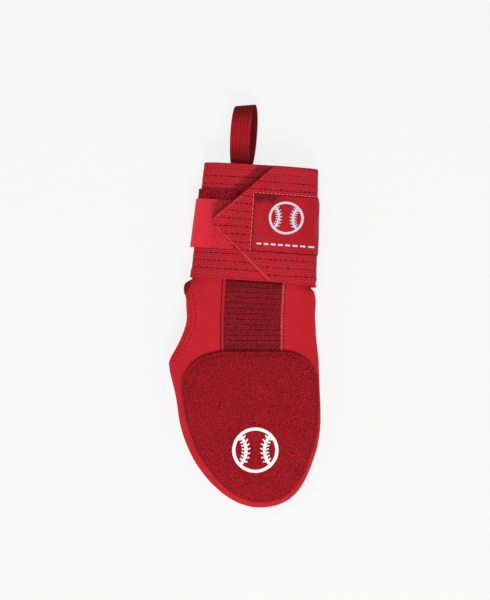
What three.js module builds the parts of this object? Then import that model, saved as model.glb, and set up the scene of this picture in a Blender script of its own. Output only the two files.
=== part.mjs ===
// Left-hand baseball sliding mitt, lying on its palm side: a stuffed foam-backed pouch with a thumb hole, a
// ribbed stretch panel and a guard pad on the back of the hand, an elastic wrist strap with its hook tab, pile
// strip and label, and a webbing pull loop at the wrist mouth.
// Millimetres. +Z is up from the surface it lies on, +Y runs from the fingertips to the wrist, +X is the
// little-finger side. The origin is on the flat of the palm, midway along the pouch.
import * as THREE from "three";

// Pouch
const LENGTH = 274; // fingertips to wrist mouth, along the middle line
const PALM_WIDTH = 121.4; // widest, level with the thumb corner
const DEPTH = 33; // thickest, over the knuckles
const WALL = 3; // foam-backed jersey
const SEAM_HEIGHT = 14; // side seam above the surface
const ARCH_LENGTH = 76; // length of the round end of the outline
const TOE_LENGTH = 21; // length of the round end seen from the side
const PALM_SETTLE = 3; // how far the soft palm is pressed flat where it rests
const CUFF_TURN = THREE.MathUtils.degToRad(3.7); // the wrist's turn towards the little finger
const CLEARANCE = 0.3; // gap kept between pieces that are sewn or lie together

// Thumb hole, cut through both panels along the thumb side
const THUMB_START = 115.5; // from the fingertips
const THUMB_LENGTH = 61.5;
const THUMB_DEPTH = 10.8; // how far it cuts in from the outline

// Stretch panel
const STRETCH_WIDTH = 50.4;
const STRETCH_START = 116; // from the fingertips, under the pad
const STRETCH_RECESS = 0.7; // below the pouch's face
const RIB_PITCH = 4.2;
const RIB_DEPTH = 0.5;

// Guard pad
const PAD_LENGTH = 119.2; // from its tip to its straight wrist edge
const PAD_THICKNESS = 5;
const PAD_EDGE = 1.4; // thickness at the sewn rim
const PAD_CORNER_THUMB = 34; // length of its rounded wrist corner on the thumb side
const PAD_CORNER_LITTLE = 22;
const PAD_RIM_TIP = 5.2; // width of pouch left showing round the fingertips
const PAD_RIM_THUMB = 4.6; // the same on the thumb side
const PAD_RIM_LITTLE = 1.6; // the same on the little-finger side
const PAD_SHOULDER_THUMB = 42; // how far the corner on the thumb side comes in
const PAD_SHOULDER_LITTLE = 26;

// Wrist strap
const STRAP_WIDTH = 92;
const STRAP_THICKNESS = 2;
const STRAP_HEM = 1; // how far the strap stands past the pouch at the mouth
const STRAP_TIP = -33; // where the pointed end stops, across the back of the hand
const STRAP_TIP_HEIGHT = 7; // height of the blunt point
const STRAP_TIP_FROM_MOUTH = 47.6; // middle of the point
const STRAP_POINT_UPPER = 43; // run of the slanted edge above the point, across
const STRAP_POINT_LOWER = 45; // the same below the point
const STRAP_RAMP = 9; // run over which the strap climbs onto the tab
const STRAP_SEWN_END = 40; // where the inner end is sewn, across

// Pile strip, hook tab and label on the strap
const PILE_WIDTH = 46;
const PILE_THICKNESS = 1.4;
const PILE_FROM_MOUTH = 21.2;
const TAB_WIDTH = 39;
const TAB_THICKNESS = 1.3;
const TAB_FROM_MOUTH = 29.4;
const TAB_END = -18; // its sewn end under the strap, across
const PILE_MARGIN = 1.5; // how far the pile goes past the tab's sewn end
const TAB_WRAP = 12; // degrees past the thumb seam where the tab ends, towards the palm
const PILE_WRAP = 17;
const LABEL_WIDTH = 45.5;
const LABEL_THICKNESS = 0.8;
const LABEL_FROM_MOUTH = 22.5;
const LABEL_EDGE = -4; // its free edge, across
const LABEL_WRAP = 15; // degrees past the little-finger seam, towards the palm

// Ball emblems on the pad and the label
const EMBLEM_THICKNESS = 0.6;
const PAD_EMBLEM_RADIUS = 18;
const PAD_EMBLEM_LINE = 2.6;
const PAD_EMBLEM_FROM_TIP = 49;
const PAD_EMBLEM_ACROSS = 2.5;
const LABEL_EMBLEM_RADIUS = 13;
const LABEL_EMBLEM_LINE = 1.9;
const LABEL_EMBLEM_FROM_MOUTH = 41;
const LABEL_EMBLEM_ACROSS = 0.173 * PALM_WIDTH; // stays on the label when the palm widens

// Pull loop
const LOOP_WIDTH = 16;
const LOOP_THICKNESS = 1.5;
const LOOP_REACH = 47; // beyond the strap's edge
const LOOP_SEWN = 20; // length held inside the mouth
const LOOP_ACROSS = -17.5; // its middle, across the back of the hand
const LOOP_BULGE = 8.5; // half of the finger gap, about
const LOOP_SLIP = 2.2; // sideways offset of the two legs
const LOOP_DROOP = 5;

// Sections of the stuffed pouch, tip to mouth. station is a share of LENGTH, shift and width are shares of
// PALM_WIDTH (width before the round end is taken off), depth is a share of DEPTH.
const SECTIONS = [
  { station: 0, shift: 0.063, width: 0.949, depth: 0.74 },
  { station: 0.084, shift: 0.031, width: 0.908, depth: 0.8 },
  { station: 0.131, shift: 0.0125, width: 0.915, depth: 0.85 },
  { station: 0.178, shift: 0.004, width: 0.924, depth: 0.9 },
  { station: 0.237, shift: -0.009, width: 0.936, depth: 0.95 },
  { station: 0.331, shift: -0.028, width: 0.965, depth: 1 },
  { station: 0.425, shift: -0.055, width: 1, depth: 0.99 },
  { station: 0.472, shift: -0.058, width: 0.985, depth: 0.97 },
  { station: 0.519, shift: -0.056, width: 0.962, depth: 0.95 },
  { station: 0.566, shift: -0.051, width: 0.94, depth: 0.93 },
  { station: 0.613, shift: -0.036, width: 0.91, depth: 0.915 },
  { station: 0.6485, shift: -0.024, width: 0.857, depth: 0.905 },
  { station: 0.676, shift: -0.013, width: 0.786, depth: 0.9 },
  { station: 0.735, shift: -0.011, width: 0.765, depth: 0.9 },
  { station: 1, shift: -0.0075, width: 0.702, depth: 0.87 },
];
const CROWN = 2.5; // roundness of the back: 2 is an ellipse, more is squarer
const PALM_CROWN = 3.2;
const TURN_START_SHARE = 0.5; // shares of LENGTH between which the wrist turns
const TURN_END_SHARE = 0.64;
const LIFT_START_SHARE = 0.6; // shares of LENGTH between which the palm rises onto the strap
const THUMB_ROUNDNESS = 1.25; // power of the sine that shapes the thumb hole's edge

// Facets
const ROW_STEP = 8.6;
const TOE_ROWS = 6;
const SIDE_COLUMNS = 7; // from the side seam to the stretch panel
const MIDDLE_COLUMNS = 5; // across the stretch panel
const PALM_COLUMNS = 15;
const FIELD_SHARE = 0.75; // the stretch field is held to this share of a narrow section
const STRAP_ROWS = 8;
const PAD_SPOKES = 60;
const PAD_RINGS = [0, 0.22, 0.42, 0.58, 0.72, 0.83, 0.91, 0.96, 1];
const LOOP_STEPS = 30;
const EMBLEM_SEGMENTS = 10;

// Sizes that follow
const STRAP_START = LENGTH - STRAP_WIDTH;
const PANEL_END = LENGTH - STRAP_HEM;
const STRAP_LEVEL = CLEARANCE; // strap's inner face above the pouch, first turn
const SECOND_LEVEL = STRAP_LEVEL + STRAP_THICKNESS + CLEARANCE; // the same over its own first turn
const PILE_LEVEL = SECOND_LEVEL;
const TAB_LEVEL = PILE_LEVEL + PILE_THICKNESS + CLEARANCE;
const POINT_RISE = TAB_LEVEL + TAB_THICKNESS + CLEARANCE - SECOND_LEVEL; // strap's rise over the tab
const LIFT = STRAP_LEVEL + STRAP_THICKNESS; // the palm's height over the surface inside the strap
const SLOT_END = SIDE_COLUMNS + MIDDLE_COLUMNS;
const BACK_COLUMNS = SLOT_END + SIDE_COLUMNS;
const TURN = BACK_COLUMNS + PALM_COLUMNS; // columns once round the pouch

const smooth = THREE.MathUtils.smoothstep;
const roundEnd = (t) => (t >= 1 ? 1 : Math.sqrt(1 - (1 - t) ** 2));
const power = (c, p) => Math.sign(c) * Math.abs(c) ** p;

// One column of the section table at a distance from the fingertips, as a smooth curve through the rows.
function profile(name, along) {
  const s = THREE.MathUtils.clamp(along / LENGTH, 0, 1);
  const last = SECTIONS.length - 1;
  let i = 0;
  while (i < last - 1 && SECTIONS[i + 1].station < s) i += 1;
  const slope = (k) => {
    const a = SECTIONS[Math.max(k - 1, 0)];
    const b = SECTIONS[Math.min(k + 1, last)];
    return (b[name] - a[name]) / (b.station - a.station);
  };
  const from = SECTIONS[i];
  const to = SECTIONS[i + 1];
  const span = to.station - from.station;
  const t = (s - from.station) / span;
  return (
    from[name] * (1 + 2 * t) * (1 - t) ** 2 +
    to[name] * t * t * (3 - 2 * t) +
    slope(i) * span * t * (1 - t) ** 2 -
    slope(i + 1) * span * t * t * (1 - t)
  );
}

// Middle line of the pouch in plan: straight through the hand, an arc where the wrist turns, then straight.
function spine(along) {
  const start = TURN_START_SHARE * LENGTH;
  const arc = (TURN_END_SHARE - TURN_START_SHARE) * LENGTH;
  const t = THREE.MathUtils.clamp((along - start) / arc, 0, 1);
  const angle = t * CUFF_TURN;
  const radius = arc / CUFF_TURN;
  const x = radius * (1 - Math.cos(angle));
  const y = Math.min(along, start) + radius * Math.sin(angle) - LENGTH / 2;
  const rest = Math.max(along - start - arc, 0);
  return { x: x + rest * Math.sin(angle), y: y + rest * Math.cos(angle), angle };
}

// Sizes of the section at a distance from the fingertips.
function section(along) {
  const toe = roundEnd(along / TOE_LENGTH);
  const floor = LIFT * smooth(along / LENGTH, LIFT_START_SHARE, STRAP_START / LENGTH);
  return {
    middle: profile("shift", along) * PALM_WIDTH,
    half: (profile("width", along) * PALM_WIDTH * roundEnd(along / ARCH_LENGTH)) / 2,
    rise: (profile("depth", along) * DEPTH - SEAM_HEIGHT) * toe,
    drop: (SEAM_HEIGHT - floor + PALM_SETTLE) * toe,
    floor: SEAM_HEIGHT - (SEAM_HEIGHT - floor) * toe,
  };
}

// Point of the pouch's outer face. angle 0 is the little-finger seam, 90 degrees the back, 180 the thumb seam
// and 270 the palm; gap moves the two halves apart at the seam.
function face(angle, along, gap = 0) {
  const { x, y, angle: turn } = spine(along);
  const { middle, half, rise, drop, floor } = section(along);
  const s = Math.sin(angle);
  const upper = s > 0 || (s === 0 && gap > 0);
  const across = middle + half * power(Math.cos(angle), 2 / (upper ? CROWN : PALM_CROWN));
  const z = upper
    ? SEAM_HEIGHT + gap + (rise - gap) * Math.abs(s) ** (2 / CROWN)
    : Math.max(floor, SEAM_HEIGHT + gap - (drop + gap) * Math.abs(s) ** (2 / PALM_CROWN));
  return new THREE.Vector3(x + across * Math.cos(turn), y - across * Math.sin(turn), z);
}

// Unit vector out of the outer face.
function outward(angle, along) {
  const step = 1e-3;
  const reach = 0.5;
  if (along < reach) return new THREE.Vector3(0, -1, 0);
  const around = face(angle + step, along).sub(face(angle - step, along));
  const forward = face(angle, along + reach).sub(face(angle, along - reach));
  return forward.cross(around).normalize();
}

const offset = (angle, along, distance, gap = 0) =>
  face(angle, along, gap).addScaledVector(outward(angle, along), distance);

// Angle at which the back or the palm lies at a place across the pouch, held to the section.
function angleAcross(across, along, crown = CROWN) {
  const { middle, half } = section(along);
  const share = THREE.MathUtils.clamp((across - middle) / Math.max(half, 1e-6), -1, 1);
  return Math.acos(power(share, crown / 2));
}

// The thumb hole's edge, across: the outline, cut in by a rounded hump.
function thumbEdge(along) {
  const { middle, half } = section(along);
  const t = THREE.MathUtils.clamp((along - THUMB_START) / THUMB_LENGTH, 0, 1);
  return middle - half + THUMB_DEPTH * Math.sin(Math.PI * t) ** THUMB_ROUNDNESS;
}

// Angle of a column round the pouch: the little-finger side of the back, the stretch panel's field, the thumb
// side, then the palm. Whole turns may be added to column.
function columnAngle(column, along) {
  const turns = Math.floor(column / TURN);
  const k = column - turns * TURN;
  const { middle, half } = section(along);
  const slotRight = angleAcross(Math.min(STRETCH_WIDTH / 2, middle + half * FIELD_SHARE), along);
  const slotLeft = angleAcross(Math.max(-STRETCH_WIDTH / 2, middle - half * FIELD_SHARE), along);
  const thumb = angleAcross(thumbEdge(along), along);
  const palm = 2 * Math.PI - angleAcross(thumbEdge(along), along, PALM_CROWN);
  const share = (start, count) => (k - start) / count;
  let angle = THREE.MathUtils.lerp(palm, 2 * Math.PI, share(BACK_COLUMNS, PALM_COLUMNS));
  if (k <= SIDE_COLUMNS) angle = THREE.MathUtils.lerp(0, slotRight, share(0, SIDE_COLUMNS));
  else if (k <= SLOT_END) {
    angle = THREE.MathUtils.lerp(slotRight, slotLeft, share(SIDE_COLUMNS, MIDDLE_COLUMNS));
  }
  if (k > SLOT_END && k <= BACK_COLUMNS) {
    angle = THREE.MathUtils.lerp(slotLeft, thumb, share(SLOT_END, SIDE_COLUMNS));
  }
  return angle + turns * 2 * Math.PI;
}

// Distances from start to end in even steps no longer than step.
function steps(start, end, step) {
  const count = Math.max(Math.ceil((end - start) / step - 1e-9), 1);
  return Array.from({ length: count + 1 }, (_, i) => start + ((end - start) * i) / count);
}

const joined = (...lists) => [...new Set(lists.flat().map((v) => Number(v.toFixed(6))))].sort((a, b) => a - b);

// Mesh of a solid from its triangles' corners: flat-sided triangles are dropped and faces are turned outwards.
function solid(name, corners, material) {
  const kept = [];
  for (let i = 0; i < corners.length; i += 3) {
    const [a, b, c] = corners.slice(i, i + 3);
    if (a.distanceTo(b) > 1e-4 && b.distanceTo(c) > 1e-4 && c.distanceTo(a) > 1e-4) kept.push(a, b, c);
  }
  let volume = 0;
  for (let i = 0; i < kept.length; i += 3) volume += kept[i].dot(kept[i + 1].clone().cross(kept[i + 2]));
  if (volume < 0) kept.reverse();
  const geometry = new THREE.BufferGeometry().setFromPoints(kept);
  geometry.computeVertexNormals();
  const mesh = new THREE.Mesh(geometry, material);
  mesh.name = name;
  return mesh;
}

// Closed wall between two grids of points, outer[row][column] and inner[row][column], with the cells that keep
// leaves out open from one face to the other. On a round grid the last column lies on the first.
function wall(name, outer, inner, material, { keep = () => true, round = false } = {}) {
  const rows = outer.length - 1;
  const columns = outer[0].length - 1;
  const corners = [];
  const quad = (a, b, c, d) => corners.push(a, b, c, a, c, d);
  const kept = (r, c) => r >= 0 && r < rows && (round || (c >= 0 && c < columns)) && keep(r, c);
  for (let r = 0; r < rows; r += 1) {
    for (let c = 0; c < columns; c += 1) {
      if (!kept(r, c)) continue;
      const top = [outer[r][c], outer[r][c + 1], outer[r + 1][c + 1], outer[r + 1][c]];
      const low = [inner[r][c], inner[r][c + 1], inner[r + 1][c + 1], inner[r + 1][c]];
      quad(...top);
      quad(low[3], low[2], low[1], low[0]);
      const sides = [kept(r - 1, c), kept(r, c + 1), kept(r + 1, c), kept(r, c - 1)];
      sides.forEach((neighbour, i) => {
        const j = (i + 1) % 4;
        if (!neighbour) quad(top[j], top[i], low[i], low[j]);
      });
    }
  }
  return solid(name, corners, material);
}

const grid = (rows, columns, point) => rows.map((row) => columns.map((column) => point(column, row)));

const cloth = (color, roughness) => new THREE.MeshStandardMaterial({ color, roughness, metalness: 0 });
const SHELL = cloth(0xc02532, 0.75);
const DARK_ELASTIC = cloth(0x7c1b22, 0.85);
const FUZZ = cloth(0x961a25, 0.95);
const ELASTIC = cloth(0xb02430, 0.8);
const SMOOTH_TAB = cloth(0xd83044, 0.6);
const PILE = cloth(0x78131b, 0.95);
const SATIN = cloth(0xb0202c, 0.5);
const PRINT = cloth(0xf4f4f4, 0.5);
const SILVER = cloth(0xcfccdc, 0.45);
const WEBBING = cloth(0x8f1a24, 0.8);

const thumbEnd = THUMB_START + THUMB_LENGTH;
const toeRows = Array.from({ length: TOE_ROWS + 1 }, (_, i) => {
  return TOE_LENGTH * (1 - Math.cos((Math.PI / 2) * (i / TOE_ROWS)));
});
const cuffRows = joined(steps(STRAP_START, PANEL_END, STRAP_WIDTH / STRAP_ROWS));
const panelRows = joined(
  toeRows,
  steps(TOE_LENGTH, THUMB_START, ROW_STEP),
  STRETCH_START,
  steps(THUMB_START, thumbEnd, ROW_STEP),
  steps(thumbEnd, STRAP_START, ROW_STEP),
  cuffRows,
);

// The two halves of the pouch meet at the side seams; the upper one has the stretch panel's slot.
function backPanel() {
  const columns = steps(0, BACK_COLUMNS, 1);
  const layer = (distance) =>
    grid(panelRows, columns, (c, v) => offset(columnAngle(c, v), v, distance, CLEARANCE / 2));
  const inSlot = (r, c) =>
    panelRows[r] >= STRETCH_START - 1e-6 && c >= SIDE_COLUMNS && c < SIDE_COLUMNS + MIDDLE_COLUMNS;
  return wall("back_panel", layer(0), layer(-WALL), SHELL, { keep: (r, c) => !inSlot(r, c) });
}

function palmPanel() {
  const columns = steps(BACK_COLUMNS, TURN, 1);
  const palmAngle = (c, v) => {
    if (c === BACK_COLUMNS) return 2 * Math.PI - angleAcross(thumbEdge(v), v, PALM_CROWN);
    return c === TURN ? 2 * Math.PI : columnAngle(c, v);
  };
  const layer = (distance) =>
    grid(panelRows, columns, (c, v) => offset(palmAngle(c, v), v, distance, -CLEARANCE / 2));
  return wall("palm_panel", layer(0), layer(-WALL), SHELL);
}

// Ribbed elastic in the slot, a little below the pouch's face.
function stretchPanel() {
  const low = STRETCH_START + CLEARANCE;
  const ribs = Math.round((STRAP_START - low) / RIB_PITCH);
  const ribRows = Array.from({ length: ribs * 3 + 1 }, (_, i) => {
    const within = [0, 0.22, 0.78][i % 3];
    return low + ((STRAP_START - low) * (Math.floor(i / 3) + within)) / ribs;
  });
  const isGroove = new Set(ribRows.filter((_, i) => i % 3 === 0).map((v) => v.toFixed(6)));
  const rows = joined(ribRows, cuffRows);
  const edge = STRETCH_WIDTH / 2 - CLEARANCE;
  const columns = steps(-edge, edge, STRETCH_WIDTH / MIDDLE_COLUMNS);
  const drop = (v) => STRETCH_RECESS + (isGroove.has(v.toFixed(6)) ? RIB_DEPTH : 0);
  const layer = (depth) => grid(rows, columns, (x, v) => offset(angleAcross(x, v), v, -depth(v)));
  return wall("stretch_panel", layer(drop), layer(() => WALL), DARK_ELASTIC);
}

// Outline of the guard pad, as places across and along the pouch: the pouch's own outline, brought in by the
// rim, with rounded corners and a straight edge towards the wrist. Its points are evenly spaced.
function padOutline() {
  const side = (sign, rim, shoulder, length) =>
    steps(0, 1, 1 / 60).map((t) => {
      const along = (PAD_LENGTH * (1 - Math.cos(Math.PI * t))) / 2;
      const { middle, half } = section(along);
      const inset = rim * roundEnd(along / ARCH_LENGTH);
      const corner = shoulder * (1 - roundEnd((PAD_LENGTH - along) / length));
      return new THREE.Vector2(middle + sign * (half - inset - corner), along + PAD_RIM_TIP);
    });
  const little = side(1, PAD_RIM_LITTLE, PAD_SHOULDER_LITTLE, PAD_CORNER_LITTLE);
  const thumb = side(-1, PAD_RIM_THUMB, PAD_SHOULDER_THUMB, PAD_CORNER_THUMB).reverse();
  const outline = [...little, ...thumb];
  const path = new THREE.CurvePath();
  outline.slice(1).forEach((point, i) => path.add(new THREE.LineCurve(outline[i], point)));
  return path.getSpacedPoints(PAD_SPOKES);
}

const padDome = (share) => PAD_EDGE + (PAD_THICKNESS - PAD_EDGE) * Math.sqrt(1 - share ** 6);

// Guard pad: rings of the outline drawn in to its middle, domed on top, on the pouch's curved back.
function guardPad() {
  const outline = padOutline();
  const centre = new THREE.Vector2(section(PAD_LENGTH / 2).middle, PAD_RIM_TIP + PAD_LENGTH / 2);
  const layer = (distance) =>
    grid(PAD_RINGS, outline, (point, share) => {
      const place = centre.clone().lerp(point, share);
      return offset(angleAcross(place.x, place.y), place.y, distance(share));
    });
  const dome = layer((share) => CLEARANCE + padDome(share));
  return wall("guard_pad", dome, layer(() => CLEARANCE), FUZZ, { round: true });
}

// Columns of a piece wrapped round the wrist: the pouch's own columns between two edges, and the edges. Each is
// a function from the distance along to the unrolled angle.
const strapMiddle = LENGTH - STRAP_WIDTH / 2;
function wrapColumns(...edges) {
  const at = edges.map((edge) => edge(strapMiddle));
  const within = steps(0, 2 * TURN, 1)
    .filter((k) => {
      const angle = columnAngle(k, strapMiddle);
      return angle > Math.min(...at) && angle < Math.max(...at) && at.every((a) => Math.abs(angle - a) > 0.04);
    })
    .map((k) => (along) => columnAngle(k, along));
  return [...within, ...edges].sort((a, b) => a(strapMiddle) - b(strapMiddle));
}

const onBack = (across, turns = 0) => (along) => angleAcross(across, along) + turns * 2 * Math.PI;
const fixed = (degrees, turns = 0) => () => THREE.MathUtils.degToRad(degrees) + turns * 2 * Math.PI;
const backAcross = (angle, along) => {
  const { middle, half } = section(along);
  return middle + half * power(Math.cos(angle), 2 / CROWN);
};

// Height of the strap's inner face above the pouch: one turn, then over its own sewn end, then over the tab.
function strapLevel(angle, along) {
  const second = smooth(angle, 2 * Math.PI - 0.6, 2 * Math.PI + 0.3);
  const level = THREE.MathUtils.lerp(STRAP_LEVEL, SECOND_LEVEL, second);
  if (angle < 2.2 * Math.PI) return level;
  const climb = (TAB_END + STRAP_RAMP - backAcross(angle, along)) / STRAP_RAMP;
  return level + POINT_RISE * THREE.MathUtils.clamp(climb, 0, 1);
}

// One elastic band: sewn on the back, round the thumb side and the palm, and over the back again to its point.
function wristStrap() {
  const upperRun = STRAP_TIP + STRAP_POINT_UPPER;
  const lowerRun = STRAP_TIP + STRAP_POINT_LOWER;
  const places = [STRAP_TIP, TAB_END, TAB_END + STRAP_RAMP, upperRun, lowerRun];
  const columns = wrapColumns(onBack(STRAP_SEWN_END), ...places.map((across) => onBack(across, 1)));
  const pointMiddle = LENGTH - STRAP_TIP_FROM_MOUTH;
  const shares = [...cuffRows.slice(0, -1), LENGTH].map((along) => (along - STRAP_START) / STRAP_WIDTH);
  const span = (column) => {
    const angle = column(strapMiddle);
    const across = angle > 2 * Math.PI ? backAcross(angle, strapMiddle) : Infinity;
    const share = (run) => THREE.MathUtils.clamp((across - STRAP_TIP) / run, 0, 1);
    return [
      THREE.MathUtils.lerp(pointMiddle - STRAP_TIP_HEIGHT / 2, STRAP_START, share(STRAP_POINT_LOWER)),
      THREE.MathUtils.lerp(pointMiddle + STRAP_TIP_HEIGHT / 2, LENGTH, share(STRAP_POINT_UPPER)),
    ];
  };
  const layer = (distance) =>
    grid(shares, columns, (column, share) => {
      const [low, high] = span(column);
      const along = THREE.MathUtils.lerp(low, high, share);
      const angle = column(along);
      return offset(angle, along, strapLevel(angle, along) + distance);
    });
  return wall("wrist_strap", layer(STRAP_THICKNESS), layer(0), ELASTIC);
}

// A patch laid round the wrist at a height above the pouch.
function wrapped(name, columns, fromMouth, width, level, thickness, material) {
  const rows = steps(LENGTH - fromMouth - width, LENGTH - fromMouth, width / 4);
  const layer = (distance) =>
    grid(rows, columns, (column, along) => {
      const angle = column(along);
      return offset(angle, along, level(angle, along) + distance);
    });
  return wall(name, layer(thickness), layer(0), material);
}

const pileStrip = () =>
  wrapped(
    "pile_strip",
    wrapColumns(onBack(TAB_END + PILE_MARGIN), fixed(180 + PILE_WRAP)),
    PILE_FROM_MOUTH,
    PILE_WIDTH,
    () => PILE_LEVEL,
    PILE_THICKNESS,
    PILE,
  );

const hookTab = () =>
  wrapped(
    "hook_tab",
    wrapColumns(onBack(TAB_END), fixed(180 + TAB_WRAP)),
    TAB_FROM_MOUTH,
    TAB_WIDTH,
    () => TAB_LEVEL,
    TAB_THICKNESS,
    SMOOTH_TAB,
  );

const strapLabel = () =>
  wrapped(
    "strap_label",
    wrapColumns(fixed(-LABEL_WRAP, 1), onBack(LABEL_EDGE, 1)),
    LABEL_FROM_MOUTH,
    LABEL_WIDTH,
    (angle, along) => strapLevel(angle, along) + STRAP_THICKNESS + CLEARANCE,
    LABEL_THICKNESS,
    SATIN,
  );

// Outline of a ball with its two seams, as a round plate with three openings.
function ballShape(radius, line) {
  const inner = radius - line;
  const seamCentre = radius * 1.35;
  const seamRadius = radius * 0.95;
  const meet = (r) => {
    const x = (inner ** 2 - r ** 2 + seamCentre ** 2) / (2 * seamCentre);
    return { rim: Math.acos(x / inner), seam: Math.acos((seamCentre - x) / r) };
  };
  const shape = new THREE.Shape().absarc(0, 0, radius, 0, 2 * Math.PI, false);
  const lens = meet(seamRadius - line / 2);
  const middle = meet(seamRadius + line / 2);
  const right = new THREE.Path().absarc(0, 0, inner, -lens.rim, lens.rim, false);
  right.absarc(seamCentre, 0, seamRadius - line / 2, Math.PI - lens.seam, Math.PI + lens.seam, false);
  const left = new THREE.Path().absarc(0, 0, inner, Math.PI - lens.rim, Math.PI + lens.rim, false);
  left.absarc(-seamCentre, 0, seamRadius - line / 2, -lens.seam, lens.seam, false);
  const centre = new THREE.Path().absarc(0, 0, inner, middle.rim, Math.PI - middle.rim, false);
  centre.absarc(-seamCentre, 0, seamRadius + line / 2, middle.seam, -middle.seam, true);
  centre.absarc(0, 0, inner, Math.PI + middle.rim, 2 * Math.PI - middle.rim, false);
  centre.absarc(seamCentre, 0, seamRadius + line / 2, Math.PI + middle.seam, Math.PI - middle.seam, true);
  shape.holes.push(right, left, centre);
  return shape;
}

// The ball laid on the back at a height above the pouch.
function emblem(name, radius, line, across, along, level, material) {
  const flat = new THREE.ExtrudeGeometry(ballShape(radius, line), {
    depth: EMBLEM_THICKNESS,
    bevelEnabled: false,
    curveSegments: EMBLEM_SEGMENTS,
  });
  const position = flat.getAttribute("position");
  const corners = Array.from({ length: position.count }, (_, i) => {
    const x = across + position.getX(i);
    const v = along + position.getY(i);
    return offset(angleAcross(x, v), v, level + position.getZ(i));
  });
  return solid(name, corners, material);
}

const padEmblem = () =>
  emblem(
    "pad_emblem",
    PAD_EMBLEM_RADIUS,
    PAD_EMBLEM_LINE,
    PAD_EMBLEM_ACROSS,
    PAD_EMBLEM_FROM_TIP,
    CLEARANCE + PAD_THICKNESS + CLEARANCE,
    PRINT,
  );

const labelEmblem = () =>
  emblem(
    "label_emblem",
    LABEL_EMBLEM_RADIUS,
    LABEL_EMBLEM_LINE,
    LABEL_EMBLEM_ACROSS,
    LENGTH - LABEL_EMBLEM_FROM_MOUTH,
    SECOND_LEVEL + STRAP_THICKNESS + CLEARANCE + LABEL_THICKNESS + CLEARANCE,
    SILVER,
  );

// Webbing sewn flat inside the mouth, out in a long drop shape and back under itself.
function pullLoop() {
  const angle = angleAcross(LOOP_ACROSS, PANEL_END);
  const seat = face(angle, PANEL_END);
  const up = outward(angle, PANEL_END);
  const out = seat.clone().sub(face(angle, PANEL_END - LOOP_SEWN)).normalize();
  const across = out.clone().cross(up).normalize();
  const pitch = LOOP_THICKNESS + CLEARANCE;
  const top = -WALL - 2 * CLEARANCE - LOOP_THICKNESS / 2;
  const reach = LOOP_REACH + STRAP_HEM;
  const place = (run, height, slip) => {
    const droop = LOOP_DROOP * Math.max(run / reach, 0) ** 2;
    return seat
      .clone()
      .addScaledVector(out, run)
      .addScaledVector(up, top + height)
      .addScaledVector(across, slip)
      .add(new THREE.Vector3(0, 0, -droop));
  };
  const sewn = steps(0, 1, 0.5).slice(0, -1);
  const drop = steps(0, 1, 1 / LOOP_STEPS).map((t) => {
    const phi = 2 * Math.PI * t;
    const swell = LOOP_BULGE * Math.sin(phi) * Math.sin(phi / 2) ** 1.2;
    return place((reach * (1 - Math.cos(phi))) / 2, swell - pitch * t, -LOOP_SLIP * Math.sin(phi));
  });
  const centres = [
    ...sewn.map((t) => place(LOOP_SEWN * (t - 1), 0, 0)),
    ...drop,
    ...sewn.map((t) => place(-LOOP_SEWN * (t + 0.5), -pitch, 0)),
  ];
  const faces = centres.map((centre, i) => {
    const before = centres[Math.max(i - 1, 0)];
    const after = centres[Math.min(i + 1, centres.length - 1)];
    return across.clone().cross(after.clone().sub(before)).normalize();
  });
  const layer = (distance) =>
    centres.map((centre, i) =>
      [-0.5, 0, 0.5].map((side) =>
        centre.clone().addScaledVector(across, side * LOOP_WIDTH).addScaledVector(faces[i], distance),
      ),
    );
  return wall("pull_loop", layer(LOOP_THICKNESS / 2), layer(-LOOP_THICKNESS / 2), WEBBING);
}

const mitt = new THREE.Group();
const pouch = new THREE.Group();
pouch.add(palmPanel(), backPanel(), stretchPanel());
const guard = new THREE.Group();
guard.add(guardPad(), padEmblem());
const closure = new THREE.Group();
closure.add(wristStrap(), pileStrip(), hookTab(), strapLabel(), labelEmblem());
mitt.add(pouch, guard, closure, pullLoop());

export default mitt;
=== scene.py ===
"""Left-hand sliding mitt on a pale table, seen from straight above.

The mitt lies on its palm. Sizes are in millimetres, as in the part's drawing, and become metres where a mesh
is made. +Z is up, +Y runs from the fingertips to the wrist, +X is the little-finger side.
"""

import logging
import math
from collections.abc import Callable
from dataclasses import dataclass, field
from enum import Enum

import bmesh
import bpy
import numpy as np
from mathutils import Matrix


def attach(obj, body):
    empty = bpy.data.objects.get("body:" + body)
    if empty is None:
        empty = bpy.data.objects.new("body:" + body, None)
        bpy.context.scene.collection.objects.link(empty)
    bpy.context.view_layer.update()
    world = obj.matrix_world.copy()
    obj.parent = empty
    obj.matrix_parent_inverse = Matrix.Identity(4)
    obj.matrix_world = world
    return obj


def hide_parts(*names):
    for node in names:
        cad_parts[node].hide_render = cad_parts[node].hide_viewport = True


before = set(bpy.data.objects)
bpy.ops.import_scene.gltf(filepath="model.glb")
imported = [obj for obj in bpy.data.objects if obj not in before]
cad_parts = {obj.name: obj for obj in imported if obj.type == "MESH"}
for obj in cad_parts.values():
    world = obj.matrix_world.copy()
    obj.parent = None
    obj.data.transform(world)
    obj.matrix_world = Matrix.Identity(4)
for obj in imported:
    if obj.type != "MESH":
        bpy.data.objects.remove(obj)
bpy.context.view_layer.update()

MM = 0.001
TURN = 2 * math.pi
COARSE = 1.0
Array = np.ndarray
Edge = Callable[[Array], Array]
log = logging.getLogger("sliding_mitt")
MADE: dict[str, bpy.types.Material] = {}


def smooth(value: Array, low: float, high: float) -> Array:
    """Rise from 0 at low to 1 at high with level ends: 3t^2 - 2t^3, t being the share of the way."""
    t = np.clip((value - low) / (high - low), 0.0, 1.0)
    return t * t * (3.0 - 2.0 * t)


def round_end(t: Array) -> Array:
    """Quarter circle from 0 at t = 0 to 1 at t = 1 and past it: the root of 1 - (1 - t)^2."""
    return np.sqrt(1.0 - (1.0 - np.clip(t, 0.0, 1.0)) ** 2)


def power(base: Array, exponent: float) -> Array:
    """Power of a number's size, with the number's own sign."""
    return np.sign(base) * np.abs(base) ** exponent


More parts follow.
